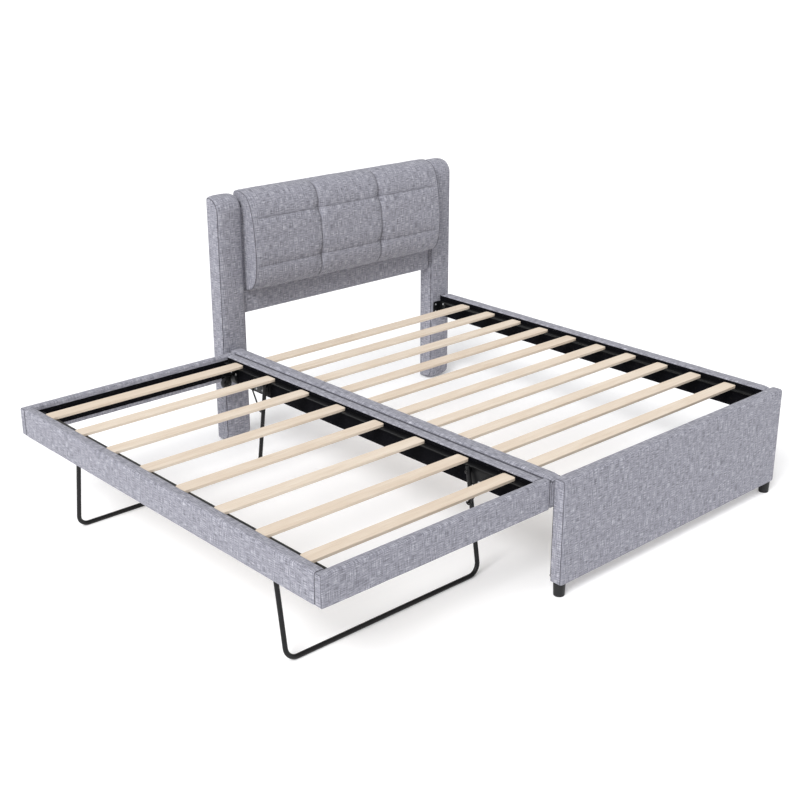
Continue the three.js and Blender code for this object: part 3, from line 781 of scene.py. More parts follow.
colour = ramp(tree, grain, [(0.0, "#C6B39F"), (0.4, "#D5C4B1"), (0.75, "#DED0BF"), (1.0, "#E6DACB")])
tree.links.new(colour, shader.inputs["Base Color"])
bump(tree, shader, fibre, 0.12 * MM, 0.6)

# %% Geometry Nodes: a row of slats
def start_tree(name, inputs):
    """A Geometry Nodes tree with a geometry input and output and the named inputs (name, kind, value)."""
    nodes = bpy.data.node_groups.new(name, "GeometryNodeTree")
    nodes.interface.new_socket("Geometry", in_out="INPUT", socket_type="NodeSocketGeometry")
    nodes.interface.new_socket("Geometry", in_out="OUTPUT", socket_type="NodeSocketGeometry")
    for label, kind, value in inputs:
        socket = nodes.interface.new_socket(label, in_out="INPUT", socket_type=kind)
        socket.default_value = value
    source = nodes.nodes.new("NodeGroupInput")
    return nodes, source.outputs


def end_tree(nodes, geometry, material):
    """Realizes the instances, sets the material and closes the tree."""
    whole = add_node(nodes, "GeometryNodeRealizeInstances", {0: geometry}).outputs[0]
    named = add_node(nodes, "GeometryNodeSetMaterial", {"Geometry": whole, "Material": material})
    add_node(nodes, "NodeGroupOutput", {"Geometry": named.outputs[0]})
    return nodes


def grow(piece, nodes, values):
    """Runs a Geometry Nodes tree on a piece with the given inputs and keeps the plain mesh."""
    modifier = piece.modifiers.new(nodes.name, "NODES")
    modifier.node_group = nodes
    for item in nodes.interface.items_tree:
        if item.in_out == "INPUT" and item.name in values:
            modifier[item.identifier] = values[item.name]
    plain_mesh(piece)
    print(piece.name, "has", len(piece.data.polygons), "faces")
    return piece


SIZE = "NodeSocketFloat"
NUMBER = "NodeSocketInt"
PLACE = "NodeSocketVector"


def slat_tree():
    """A row of slats along Y: rounded in plan, with eased edges."""
    nodes, given = start_tree("slat row", [
        ("Count", NUMBER, 10), ("Pitch", SIZE, 0.18), ("First", PLACE, (0, 0, 0)), ("Length", SIZE, 1.3),
        ("Width", SIZE, 0.06), ("Thickness", SIZE, 0.012), ("Corner radius", SIZE, 0.009),
        ("Easing", SIZE, 0.001), ("Seed", NUMBER, 1)])

    def math_node(kind, a, b):
        return add_node(nodes, "ShaderNodeMath", {0: a, 1: b}, operation=kind).outputs[0]

    doubled = math_node("MULTIPLY", given["Easing"], 2.0)
    short = math_node("SUBTRACT", given["Length"], doubled)
    narrow = math_node("SUBTRACT", given["Width"], doubled)
    thin = math_node("SUBTRACT", given["Thickness"], doubled)
    plan = add_node(nodes, "GeometryNodeCurvePrimitiveQuadrilateral", {"Width": short, "Height": narrow})
    plan = add_node(nodes, "GeometryNodeFilletCurve", {
        "Curve": plan.outputs[0], "Radius": given["Corner radius"], "Count": 5}, mode="POLY")
    face = add_node(nodes, "GeometryNodeFillCurve", {"Curve": plan.outputs[0]}, mode="NGONS").outputs[0]
    under = add_node(nodes, "GeometryNodeFlipFaces", {"Mesh": face}).outputs[0]
    wider = add_node(nodes, "ShaderNodeCombineXYZ", {
        "X": math_node("DIVIDE", given["Length"], short), "Y": math_node("DIVIDE", given["Width"], narrow),
        "Z": 1.0}).outputs[0]
    narrower = add_node(nodes, "ShaderNodeVectorMath", {0: (1, 1, 1), 1: wider}, operation="DIVIDE")
    narrower = narrower.outputs[0]
    at = add_node(nodes, "GeometryNodeInputPosition").outputs[0]
    solid = face
    for lift, stretch in ((given["Easing"], wider), (thin, None), (given["Easing"], narrower)):
        raised = add_node(nodes, "GeometryNodeExtrudeMesh", {
            "Mesh": solid, "Offset Scale": lift, "Individual": False}, mode="FACES")
        if solid is not face:
            nodes.links.new(top, raised.inputs["Selection"])
        solid, top = raised.outputs["Mesh"], raised.outputs["Top"]
        if stretch is not None:
            moved = add_node(nodes, "ShaderNodeVectorMath", {0: at, 1: stretch}, operation="MULTIPLY")
            moved = moved.outputs[0]
            solid = add_node(nodes, "GeometryNodeSetPosition", {
                "Geometry": solid, "Selection": top, "Position": moved}).outputs[0]
    one = add_node(nodes, "GeometryNodeJoinGeometry")
    nodes.links.new(solid, one.inputs[0])
    nodes.links.new(under, one.inputs[0])
    one = add_node(nodes, "GeometryNodeMergeByDistance", {"Geometry": one.outputs[0], "Distance": 1e-5})
    one = one.outputs[0]
    step = add_node(nodes, "ShaderNodeCombineXYZ", {"Y": given["Pitch"]}).outputs[0]
    row = add_node(nodes, "GeometryNodeMeshLine", {
        "Count": given["Count"], "Start Location": given["First"], "Offset": step}, mode="OFFSET")
    row = row.outputs[0]
    set_out = add_node(nodes, "GeometryNodeInstanceOnPoints", {"Points": row, "Instance": one}).outputs[0]
    index = add_node(nodes, "GeometryNodeInputIndex").outputs[0]
    chance = add_node(nodes, "FunctionNodeRandomValue", {
        "ID": index, "Seed": given["Seed"]}, data_type="FLOAT")
    marked = add_node(nodes, "GeometryNodeStoreNamedAttribute", {
        "Geometry": set_out, "Name": "board", "Value": chance.outputs[1]},
        data_type="FLOAT", domain="INSTANCE")
    return end_tree(nodes, marked.outputs[0], pine)


slat_row = slat_tree()
SLAT_EASING = 1.1
SLAT_CORNER = 9

for prefix, count, body, seed in (("main", 10, "main_bed", 3), ("trundle", 8, "trundle_frame", 8)):
    names = [f"{prefix}_slat_{i + 1:02d}" for i in range(count)]
    low, high = node_box(names[0])
    last_low, _ = node_box(names[-1])
    middle = [(a + b) / 2 for a, b in zip(low, high)]
    slats = make_object(f"{prefix}_slats", [], [])
    grow(slats, slat_row, {
        "Count": count, "Pitch": (last_low[1] - low[1]) / (count - 1) * MM,
        "First": place(middle[0], middle[1], low[2]), "Length": (high[0] - low[0]) * MM,
        "Width": (high[1] - low[1]) * MM, "Thickness": (high[2] - low[2]) * MM,
        "Corner radius": SLAT_CORNER * MM, "Easing": SLAT_EASING * MM, "Seed": seed})
    slats.data.set_sharp_from_angle(angle=math.radians(35))
    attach(slats, body)
    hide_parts(*names)

# %% [markdown]
# ## Black liner
# The inner faces of the rails are closed with black non-woven cloth: spun polypropylene
# that has been dot-welded, so it has a fine pimpled face and a dull sheen. It is stapled
# along both edges. Each liner is one flat sheet, a little uneven where it is pulled.

# %% Material: spun-bonded liner
DOT_PITCH = 4 * MM

liner_cloth, tree, shader = start_material("black spun-bonded liner", 0.85)
shader.inputs["Specular IOR Level"].default_value = 0.06
cloth = add_node(tree, "ShaderNodeUVMap", uv_map="cloth").outputs["UV"]
dots_at = add_node(tree, "ShaderNodeMapping", {"Vector": cloth, "Scale": (1 / DOT_PITCH, 1 / DOT_PITCH, 1)})
dots = add_node(tree, "ShaderNodeTexVoronoi", {
    "Vector": dots_at.outputs[0], "Scale": 1.0, "Randomness": 0.1})
fibres = streaks(tree, cloth, (9 * MM, 3 * MM, 1), 3.0)
tone = add_node(tree, "ShaderNodeMath", {
    0: dots.outputs["Distance"], 1: 0.4, 2: fibres}, operation="MULTIPLY_ADD")
colour = ramp(tree, tone.outputs[0], [(0.35, "#040406"), (0.6, "#08080C"), (0.9, "#101015")])
tree.links.new(colour, shader.inputs["Base Color"])
bump(tree, shader, tone.outputs[0], 0.5 * MM, 0.7)

# %% Liner sheets
LINER_STEP = 22
LINER_THICKNESS = 0.7


def liner_sheet(name, body, corner, along, up, length, height, outward):
    """A sheet from a corner, `length` along one axis and `height` up, standing off the board behind."""
    columns = max(3, round(length / LINER_STEP))
    rows = max(3, round(height / 12))
    seed = sum(ord(letter) for letter in name)
    points = []
    for back in (0, 1):
        for i in range(columns + 1):
            for j in range(rows + 1):
                a, b = i / columns, j / rows
                free = min(1, 6 * min(b, 1 - b, a * length / height, (1 - a) * length / height))
                slack = 0.8 * free * (0.5 + noise.noise(Vector((a * length / 70, b * height / 60, seed))))
                out = 0.25 + (0 if back else LINER_THICKNESS) + max(0, slack)
                spot = Vector(corner) + along * (a * length) + up * (b * height) + outward * out
                points.append(place(*spot))
    faces = []
    uvs = []
    across = rows + 1
    half = (columns + 1) * across

    def quad(corners, swap):
        if swap:
            corners = corners[::-1]
        faces.append(tuple(i + (half if back else 0) for i, back in corners))
        for i, _ in corners:
            uvs.append((i // across / columns * length * MM, i % across / rows * height * MM))

    turn = along.cross(up).dot(outward) < 0
    for i in range(columns):
        for j in range(rows):
            a = i * across + j
            b, c, d = a + across, a + across + 1, a + 1
            quad([(a, 0), (b, 0), (c, 0), (d, 0)], turn)
            quad([(a, 1), (b, 1), (c, 1), (d, 1)], not turn)
    rim = [i * across for i in range(columns)] + [columns * across + j for j in range(rows)]
    rim += [i * across + rows for i in range(columns, 0, -1)] + [j for j in range(rows, 0, -1)]
    for k, a in enumerate(rim):
        b = rim[(k + 1) % len(rim)]
        quad([(a, 0), (a, 1), (b, 1), (b, 0)], turn)
    sheet = make_object(name, points, faces, uvs)
    sheet.data.set_sharp_from_angle(angle=math.radians(50))
    sheet.data.materials.append(liner_cloth)
    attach(sheet, body)
    return sheet


UP = Vector((0, 0, 1))
ACROSS = Vector((1, 0, 0))
LENGTHWAYS = Vector((0, 1, 0))
liner_edges = {"main_bed": [], "trundle_frame": []}


def line_rail(rail, face, body, bottom, top):
    """Lines one face of a rail: face is +x, -x, +y or -y, between two heights."""
    low, high = node_box(rail)
    axis = 0 if face[1] == "x" else 1
    sign = 1 if face[0] == "+" else -1
    along = LENGTHWAYS if axis == 0 else ACROSS
    corner = [low[0] + 6, low[1] + 6, bottom]
    corner[axis] = high[axis] if sign > 0 else low[axis]
    length = high[1 - axis] - low[1 - axis] - 12
    outward = Vector((sign, 0, 0)) if axis == 0 else Vector((0, sign, 0))
    liner_sheet(f"liner_{rail}", body, corner, along, UP, length, top - bottom, outward)
    for edge in (8, top - bottom - 8):
        start = Vector(corner) + UP * edge + outward * 1.1
        liner_edges[body].append((start, start + along * length, outward))


line_rail("side_rail_near", "+x", "main_bed", node_box("side_rail_near")[0][2] + 2, 457)
line_rail("side_rail_far", "-x", "main_bed", node_box("side_rail_far")[0][2] + 2, 457)
line_rail("footboard", "+y", "main_bed", 70, 448)
line_rail("trundle_rail_outer", "+x", "trundle_frame", node_box("trundle_rail_outer")[0][2] + 2, 442)
line_rail("trundle_rail_inner", "-x", "trundle_frame", node_box("trundle_rail_inner")[0][2] + 2, 455)
line_rail("trundle_rail_foot", "+y", "trundle_frame", 362, 442)
line_rail("trundle_rail_head", "-y", "trundle_frame", 362, 442)
low, high = node_box("headboard_panel")
line_rail("headboard_panel", "+y", "main_bed", low[2] + 14, high[2] - 30)

# %% [markdown]
# ## Steel
# All the metalwork is mild steel, cut and bent, then powder coated satin black. The
# coating is baked plastic a tenth of a millimetre thick: it rounds the edges a little
# and has a faint orange-peel skin, so a highlight on it is soft and slightly broken.

# %% Materials: powder coat, bright zinc, moulded plastics
black_coat, tree, shader = start_material("satin black powder coat", 0.4)
shader.inputs["Specular IOR Level"].default_value = 0.32
spot = add_node(tree, "ShaderNodeTexCoord").outputs["Object"]
peel = streaks(tree, spot, (2.2 * MM, 2.2 * MM, 2.2 * MM), 2.0)
worn = streaks(tree, spot, (60 * MM, 60 * MM, 60 * MM), 3.0)
colour = ramp(tree, worn, [(0.3, "#08080A"), (0.6, "#0D0D0F"), (0.8, "#151517")])
tree.links.new(colour, shader.inputs["Base Color"])
bump(tree, shader, peel, 0.12 * MM, 0.5)

zinc, tree, shader = start_material("bright zinc plating", 0.34, 1.0)
spot = add_node(tree, "ShaderNodeTexCoord").outputs["Object"]
frost = streaks(tree, spot, (3 * MM, 3 * MM, 3 * MM), 3.0)
tree.links.new(ramp(tree, frost, [(0.3, "#9C9DA0"), (0.7, "#C4C5C6")]), shader.inputs["Base Color"])
bump(tree, shader, frost, 0.05 * MM, 0.5)

black_plastic, tree, shader = start_material("moulded black polypropylene", 0.5)
shader.inputs["Specular IOR Level"].default_value = 0.4
spot = add_node(tree, "ShaderNodeTexCoord").outputs["Object"]
spark = streaks(tree, spot, (0.9 * MM, 0.9 * MM, 0.9 * MM), 2.0)
scuff = streaks(tree, spot, (14 * MM, 14 * MM, 5 * MM), 3.0)
tree.links.new(ramp(tree, scuff, [(0.35, "#0E0E10"), (0.7, "#19191B")]), shader.inputs["Base Color"])
bump(tree, shader, spark, 0.1 * MM, 0.6)

tread_rubber, tree, shader = start_material("grey tread rubber", 0.7)
spot = add_node(tree, "ShaderNodeTexCoord").outputs["Object"]
dust = streaks(tree, spot, (8 * MM, 8 * MM, 8 * MM), 3.0)
tree.links.new(ramp(tree, dust, [(0.35, "#232326"), (0.7, "#353539")]), shader.inputs["Base Color"])
bump(tree, shader, dust, 0.1 * MM, 0.5)

# %% Shapes in steel
class Metalwork:
    """Collects closed shapes in bed millimetres, then makes one piece of them."""

    def __init__(self):
        self.points = []
        self.faces = []

    def add(self, points, faces):
        start = len(self.points)
        self.points.extend(points)
        self.faces.extend(tuple(i + start for i in face) for face in faces)

    def slab(self, outline, low, high, to_place):
        """An outline pushed from low to high; to_place turns (a, b, depth) into a bed place."""
        size = len(outline)
        points = [Vector(to_place(a, b, depth)) for depth in (low, high) for a, b in outline]
        faces = [tuple(range(size)), tuple(range(2 * size - 1, size - 1, -1))]
        faces += [(i, size + i, size + (i + 1) % size, (i + 1) % size) for i in range(size)]
        self.add(points, faces)

    def turned(self, profile, centre, axis, steps=32):
        """A lathe shape: profile is (radius, along) from end to end, round an axis through centre."""
        axis = Vector(axis).normalized()
        first = axis.orthogonal().normalized()
        second = axis.cross(first)
        points = []
        for radius, along in profile:
            for k in range(steps):
                angle = 2 * math.pi * k / steps
                spoke = first * math.cos(angle) + second * math.sin(angle)
                points.append(Vector(centre) + axis * along + spoke * radius)
        faces = []
        closed = profile[0] == profile[-1]
        if closed:
            points = points[:-steps]
        rings = len(profile) - 1
        for r in range(rings):
            for k in range(steps):
                a, b = r * steps + k, r * steps + (k + 1) % steps
                up = (r + 1) % rings if closed else r + 1
                faces.append((a, b, up * steps + (k + 1) % steps, up * steps + k))
        if not closed:
            faces.append(tuple(range(steps)))
            faces.append(tuple(range(rings * steps, (rings + 1) * steps)))
        self.add(points, faces)

    def rod(self, path, radius, sides=20, ease=0.8):
        """A round bar along a path, with eased ends."""
        path = [Vector(spot) for spot in path]
        points = []
        side = None
        size = len(path)
        for i, spot in enumerate(path):
            ahead = path[min(i + 1, size - 1)] - spot
            behind = spot - path[max(i - 1, 0)]
            run = (ahead.normalized() + behind.normalized()).normalized()
            if side is None:
                side = run.orthogonal().normalized()
            side = (side - run * side.dot(run)).normalized()
            other = run.cross(side)
            rings = [(0.0, radius)]
            if i == 0:
                rings = [(0.0, radius - ease), (ease, radius)]
            if i == size - 1:
                rings = [(-ease, radius), (0.0, radius - ease)]
            for along, reach in rings:
                for k in range(sides):
                    angle = 2 * math.pi * k / sides
                    spoke = side * math.cos(angle) + other * math.sin(angle)
                    points.append(spot + run * along + spoke * reach)
        rings = len(points) // sides
        faces = [tuple(range(sides)), tuple(range((rings - 1) * sides, rings * sides))]
        for r in range(rings - 1):
            for k in range(sides):
                j = (k + 1) % sides
                faces.append((r * sides + k, r * sides + j, (r + 1) * sides + j, (r + 1) * sides + k))
        self.add(points, faces)

    def piece(self, name, material, body, nodes, slot, bevel=0.0, sharp=40):
        """Makes the object, eases its edges and hands it to the frame."""
        made = make_object(name, [place(*spot) for spot in self.points], self.faces)
        face_outwards(made)
        if bevel:
            made.data.set_sharp_from_angle(angle=math.radians(30))
            ease = made.modifiers.new("eased edges", "BEVEL")
            ease.width = bevel * MM
            ease.segments = 2
            ease.limit_method = "ANGLE"
            ease.angle_limit = math.radians(30)
            plain_mesh(made)
        made.data.shade_smooth()
        made.data.set_sharp_from_angle(angle=math.radians(sharp))
        made.data.materials.append(material)
        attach(made, body)
        if nodes:
            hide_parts(*nodes)
        return made


def rounded_rectangle(low, high, radius, steps=6):
    """A flat outline with four rounded corners."""
    corners = board_corners(low, high, (radius, radius, radius, radius))
    return [tuple(spot) for spot in rounded_outline(corners, 0, steps, [1, 1, 1, 1])]


# %% [markdown]
# ## The folding legs
# Each end of the trundle stands on one bent tube: two posts and a floor bar, with the
# corners drawn round on a bending die. The posts hang from studs on the side rails. A
# thin lock brace hangs beside each post, and its J hook cups a pin that stands out of
# the post, which is what holds the leg upright. A bar that follows a path is a tube
# swept along it.

# %% Sizes of the linkage
TUBE_RADIUS = 9
LEG_BEND = 45
LEG_LEAN = math.radians(8.9)
LEG_TOP_STUB = 20
LEG_INSET = 18.5
LEG_PIVOT_END = 339
LEG_PIVOT_Z = 405
LOCK_PIN = 116
BRACE_PIVOT_END = 249
BRACE_PIVOT_Z = 398
BRACE_INSET = 33.5
BRACE_RADIUS = 3.5
HOOK_RADIUS = 9
WHEEL_END = 83
WHEEL_INSET = 45
WHEEL_RADIUS = 25
WHEEL_HALF = 10

outer_low, outer_high = node_box("trundle_rail_outer")
inner_low = node_box("trundle_rail_inner")[0]
foot_end = node_box("trundle_rail_foot")[0][1]
head_end = node_box("trundle_rail_head")[1][1]
frame_bottom = outer_low[2]
OUTER_FACE = outer_high[0]
INNER_FACE = inner_low[0]
TRUNDLE_MIDDLE = (OUTER_FACE + INNER_FACE) / 2
HALF_INSIDE = (INNER_FACE - OUTER_FACE) / 2
LEG_LENGTH = (LEG_PIVOT_Z - TUBE_RADIUS) / math.cos(LEG_LEAN)
ENDS = {"foot": (foot_end, 1), "head": (head_end, -1)}
SIDES = {"outer": (OUTER_FACE, 1), "inner": (INNER_FACE, -1)}
print("trundle: inside", round(2 * HALF_INSIDE), "mm, legs", round(LEG_LENGTH), "mm long")

# %% Tube legs
def bend(centre, radius, first, last, steps=14):
    """Points round an arc in a plane, by angles in degrees."""
    turns = [math.radians(first + (last - first) * k / steps) for k in range(steps + 1)]
    return [(centre[0] + radius * math.cos(turn), centre[1] + radius * math.sin(turn)) for turn in turns]


for end, (end_y, away) in ENDS.items():
    half = HALF_INSIDE - LEG_INSET
    flat = [(-half, LEG_TOP_STUB), (-half, 0), (-half, -100), (-half, -200), (-half, -300)]
    flat += bend((-half + LEG_BEND, -LEG_LENGTH + LEG_BEND), LEG_BEND, 180, 270)
    flat += [(half * k / 4, -LEG_LENGTH) for k in range(-3, 4)]
    flat += bend((half - LEG_BEND, -LEG_LENGTH + LEG_BEND), LEG_BEND, 270, 360)
    flat += [(half, -300), (half, -200), (half, -100), (half, 0), (half, LEG_TOP_STUB)]
    pivot_y = end_y + away * LEG_PIVOT_END

    def leg_place(x, down):
        y = pivot_y + away * down * math.sin(LEG_LEAN)
        return (TRUNDLE_MIDDLE + x, y, LEG_PIVOT_Z + down * math.cos(LEG_LEAN))

    leg = Metalwork()
    leg.rod([leg_place(*spot) for spot in flat], TUBE_RADIUS, 28, 1.2)
    for side in (-1, 1):
        pin = leg_place(side * (half - 2), -LOCK_PIN)
        reach = BRACE_INSET + BRACE_RADIUS + 3 - LEG_INSET
        axis = (-side, 0, 0)
        lock_pin = [
            (6.5, 0), (6.5, 9.6), (4, 10.2), (4, reach - 2), (5.6, reach - 1.6), (5.6, reach - 0.4),
            (4.8, reach)]
        leg.turned(lock_pin, pin, axis, 20)
        leg.turned([(11, -0.4), (11, 0.4)], leg_place(side * (half + TUBE_RADIUS - 0.3), 0), axis, 20)
    leg.piece(f"tube_leg_{end}", black_coat, f"leg_{end}", [f"u_leg_{end}"], "black_steel")

    caps = Metalwork()
    for side in (-1, 1):
        top = leg_place(side * half, LEG_TOP_STUB)
        lean_axis = Vector((0, away * math.sin(LEG_LEAN), math.cos(LEG_LEAN)))
        plug = [(7.6, -4), (9.2, -0.5), (9.4, 0.8), (8.4, 2.2), (5.5, 3), (2, 3.3)]
        caps.turned(plug, top, lean_axis, 24)
    caps.piece(f"leg_end_caps_{end}", black_plastic, f"leg_{end}", [], "foot_plastic")

# %% Lock braces with J hooks
for end, (end_y, away) in ENDS.items():
    for side, (face_x, inward) in SIDES.items():
        x = face_x + inward * BRACE_INSET
        pin_along = LEG_PIVOT_END - LOCK_PIN * math.sin(LEG_LEAN)
        pin = Vector((pin_along, LEG_PIVOT_Z - LOCK_PIN * math.cos(LEG_LEAN)))
        eye = Vector((BRACE_PIVOT_END, BRACE_PIVOT_Z))
        shank = pin - eye
        start = math.degrees(math.atan2(shank.y, shank.x)) - 90
        hook = bend(pin, HOOK_RADIUS, start, start + 90, 12)
        tip = Vector(hook[0])
        run = (tip - eye).normalized()
        path = [tuple(eye + run * 8), tuple(eye.lerp(tip, 0.35)), tuple(eye.lerp(tip, 0.7)), *hook]
        brace = Metalwork()
        brace.rod([(x, end_y + away * a, b) for a, b in path], BRACE_RADIUS, 16, 0.8)
        eye_at = (x, end_y + away * eye.x, eye.y)
        ring = []
        for k in range(13):
            turn = 2 * math.pi * k / 12
            ring.append((6.4 + 2.9 * math.cos(turn), 2.9 * math.sin(turn)))
        ring[-1] = ring[0]
        brace.turned(ring, eye_at, (1, 0, 0), 28)
        corner = f"{end}_{side}"
        brace.piece(
            f"hook_brace_{corner}", black_coat, f"brace_{corner}", [f"lock_brace_{corner}"], "black_steel")

# %% [markdown]
# ## Brackets, casters and feet
# A pressed plate on each side rail carries the studs of the leg and the brace. A caster
# sits in each corner of the frame: a fork bent from one strip and a moulded wheel that
# rolls across the floor when the trundle is pushed under the bed.

# %% Leg brackets
for end, (end_y, away) in ENDS.items():
    for side, (face_x, inward) in SIDES.items():
        corner = f"{end}_{side}"
        bracket = Metalwork()
        y0, y1 = sorted((end_y + away * (BRACE_PIVOT_END - 16), end_y + away * (LEG_PIVOT_END + 16)))
        outline = rounded_rectangle((y0, LEG_PIVOT_Z - 52), (y1, LEG_PIVOT_Z + 10), 8)
        bracket.slab(outline, 0.3, 3.3, lambda a, b, depth: (face_x + inward * depth, a, b))
        axis = (inward, 0, 0)
        leg_at = (face_x, end_y + away * LEG_PIVOT_END, LEG_PIVOT_Z)
        brace_at = (face_x, end_y + away * BRACE_PIVOT_END, BRACE_PIVOT_Z)
        gap = LEG_INSET - TUBE_RADIUS - 0.7
        leg_stud = [
            (9.5, 3), (9.5, 4), (8, 4.5), (8, gap), (4.3, gap), (4.3, 29), (7.8, 29), (7.8, 31),
            (6, 33), (2.5, 33.6)]
        bracket.turned(leg_stud, leg_at, axis, 24)
        gap = BRACE_INSET - 3.6
        brace_stud = [
            (9, 3), (9, 4), (6.6, 5), (6.6, gap), (3, gap), (3, 37.6), (6.8, 37.6), (6.8, 39),
            (5, 41), (2, 41.6)]
        bracket.turned(brace_stud, brace_at, axis, 24)
        bracket.piece(
            f"leg_plate_{corner}", black_coat, "trundle_frame", [f"leg_bracket_{corner}"], "black_steel",
            bevel=0.5)

# %% Casters
for end, (end_y, away) in ENDS.items():
    for side, (face_x, inward) in SIDES.items():
        corner = f"{end}_{side}"
        x = face_x + inward * WHEEL_INSET
        y = end_y + away * WHEEL_END
        z = frame_bottom - 15 + WHEEL_RADIUS
        top = z + WHEEL_RADIUS + 8
        fork = Metalwork()
        back = rounded_rectangle((y - 25, z - 8), (y + 25, top + 14), 5)
        fork.slab(back, 0.3, 3.3, lambda a, b, depth: (face_x + inward * depth, a, b))
        crown = rounded_rectangle((2, y - 15.5), (WHEEL_INSET + 14, y + 15.5), 3)
        fork.slab(crown, top, top + 3, lambda a, b, depth: (face_x + inward * a, b, depth))
        cheek = [(-14, 30), (-12, 0)] + bend((0, 0), 11, 200, 340, 10)
        cheek += [(12, 0), (14, 30), (14, 33.5), (-14, 33.5)]
        for turn in (-1, 1):
            inner, outer = sorted((turn * 12.5, turn * 15.5))
            fork.slab(cheek, inner, outer, lambda a, b, depth: (x + a, y + depth, z + b))
            fork.turned([(7, 15.3), (7, 16.4), (6, 17), (6, 19), (4.5, 20)], (x, y, z), (0, turn, 0), 6)
        fork.turned([(4, -15.4), (4, 15.4)], (x, y, z), (0, 1, 0), 20)
        fork.piece(
            f"caster_frame_{corner}", black_coat, "trundle_frame", [f"caster_fork_{corner}"], "black_steel",
            bevel=0.4)

        wheel = Metalwork()
        half = WHEEL_HALF
        profile = [
            (4.5, -half - 1.5), (8.5, -half - 1.5), (9.2, -half - 0.9), (9.8, -half + 2), (13, -half + 3),
            (18, -half + 2.6), (19.6, -half + 0.4), (22, -half), (24, -half + 1.6), (24.8, -half + 4),
            (25, 0), (24.8, half - 4), (24, half - 1.6), (22, half), (19.6, half - 0.4), (18, half - 2.6),
            (13, half - 3), (9.8, half - 2), (9.2, half + 0.9), (8.5, half + 1.5), (4.5, half + 1.5),
            (4.5, -half - 1.5)]
        wheel.turned(profile, (x, y, z), (0, 1, 0), 48)
        for spoke in range(6):
            angle = 2 * math.pi * spoke / 6
            run = Vector((math.cos(angle), 0, math.sin(angle)))
            for turn in (-1, 1):
                rib = [(9, -1.1), (19.5, -1.1), (19.5, 1.1), (9, 1.1)]
                side_of = Vector((-run.z, 0, run.x))
                base = Vector((x, y, z))
                out = Vector((0, turn, 0))
                wheel.slab(rib, half - 4, half - 0.6, lambda a, b, depth: (
                    base + run * a + side_of * b + out * depth))
        wheel.piece(
            f"caster_roller_{corner}", tread_rubber, f"wheel_{corner}", [f"caster_wheel_{corner}"],
            "wheel_rubber")

# %% Feet and corner brackets
for name, side in (("foot_left", -1), ("foot_right", 1)):
    low, high = node_box(name)
    middle = ((low[0] + high[0]) / 2, (low[1] + high[1]) / 2, 0)
    foot = Metalwork()
    foot.turned([
        (14, 0), (20, 0), (20.8, 0.8), (21, 4), (21.2, 5), (20.6, 5.6), (20.6, 6.4), (21.3, 7), (22.6, 40),
        (23, 46), (23, 51), (22.4, 52), (12, 52)], middle, (0, 0, 1), 56)
    foot.piece(f"{name}_moulding", black_plastic, "main_bed", [name], "foot_plastic")

for end in ("foot", "head"):
    for rail, side in (("near", -1), ("far", 1)):
        name = f"corner_bracket_{end}_{rail}"
        low, high = node_box(name)
        bracket = Metalwork()
        corner_x, into = (low[0], 1) if side < 0 else (high[0], -1)
        corner_y, away = (low[1], 1) if end == "foot" else (high[1], -1)
        leaf = rounded_rectangle((0, 0), (46, high[2] - low[2]), 6)

        def lengthways_leaf(a, b, depth):
            return (corner_x + into * a, corner_y + away * depth, low[2] + b)

        def crossways_leaf(a, b, depth):
            return (corner_x + into * depth, corner_y + away * a, low[2] + b)

        bracket.slab(leaf, 0, 3, lengthways_leaf)
        bracket.slab(leaf, 0, 3, crossways_leaf)
        bracket.piece(f"{name}_steel", black_coat, "main_bed", [name], "black_steel", bevel=0.5)

# %% [markdown]
# ## Staples, bolts and stitches
# Small things that repeat along a line or sit on a plate. Staples hold the liners every
# 55 mm, each shot a little crooked; button-head bolts hold the plates to the rails; and
# a lockstitch follows every channel of the cushion. One rule sets them all out: shapes
# stand on the points of a path, turned to face outward.

# %% Geometry Nodes: shapes set out along paths
def set_out_tree(name, material, spaced):
    """Stands copies of a shape on a path's points, or along it every `Spacing` metres."""
    nodes, given = start_tree(name, [
        ("Spacing", SIZE, 0.05), ("Crookedness", SIZE, 0.0), ("Seed", NUMBER, 1)])
    socket = nodes.interface.new_socket("Shape", in_out="INPUT", socket_type="NodeSocketObject")
    path = given["Geometry"]
    facing = add_node(nodes, "GeometryNodeInputNamedAttribute", {"Name": "out"}, data_type="FLOAT_VECTOR")
    facing = facing.outputs[0]
    run = add_node(nodes, "GeometryNodeInputNamedAttribute", {"Name": "run"}, data_type="FLOAT_VECTOR")
    run = run.outputs[0]
    if spaced:
        line = add_node(nodes, "GeometryNodeMeshToCurve", {"Mesh": path}).outputs[0]
        path = add_node(nodes, "GeometryNodeResampleCurve", {
            "Curve": line, "Length": given["Spacing"]}, mode="LENGTH")
        path = path.outputs[0]
    turn = add_node(nodes, "FunctionNodeAxesToRotation", {
        0: run, 1: facing}, primary_axis="X", secondary_axis="Z")
    shape = add_node(nodes, "GeometryNodeObjectInfo", {"Object": given[socket.name]}).outputs["Geometry"]
    stood = add_node(nodes, "GeometryNodeInstanceOnPoints", {
        "Points": path, "Instance": shape, "Rotation": turn.outputs[0]}).outputs[0]
    index = add_node(nodes, "GeometryNodeInputIndex").outputs[0]
    back = add_node(nodes, "ShaderNodeMath", {0: given["Crookedness"], 1: -1.0}, operation="MULTIPLY")
    back = back.outputs[0]
    chance = add_node(nodes, "FunctionNodeRandomValue", {
        "ID": index, "Seed": given["Seed"]}, data_type="FLOAT")
    nodes.links.new(back, chance.inputs[2])
    nodes.links.new(given["Crookedness"], chance.inputs[3])
    twist = add_node(nodes, "ShaderNodeCombineXYZ", {"Z": chance.outputs[1]}).outputs[0]
    crooked = add_node(nodes, "GeometryNodeRotateInstances", {"Instances": stood, "Rotation": twist})
    return end_tree(nodes, crooked.outputs[0], material)


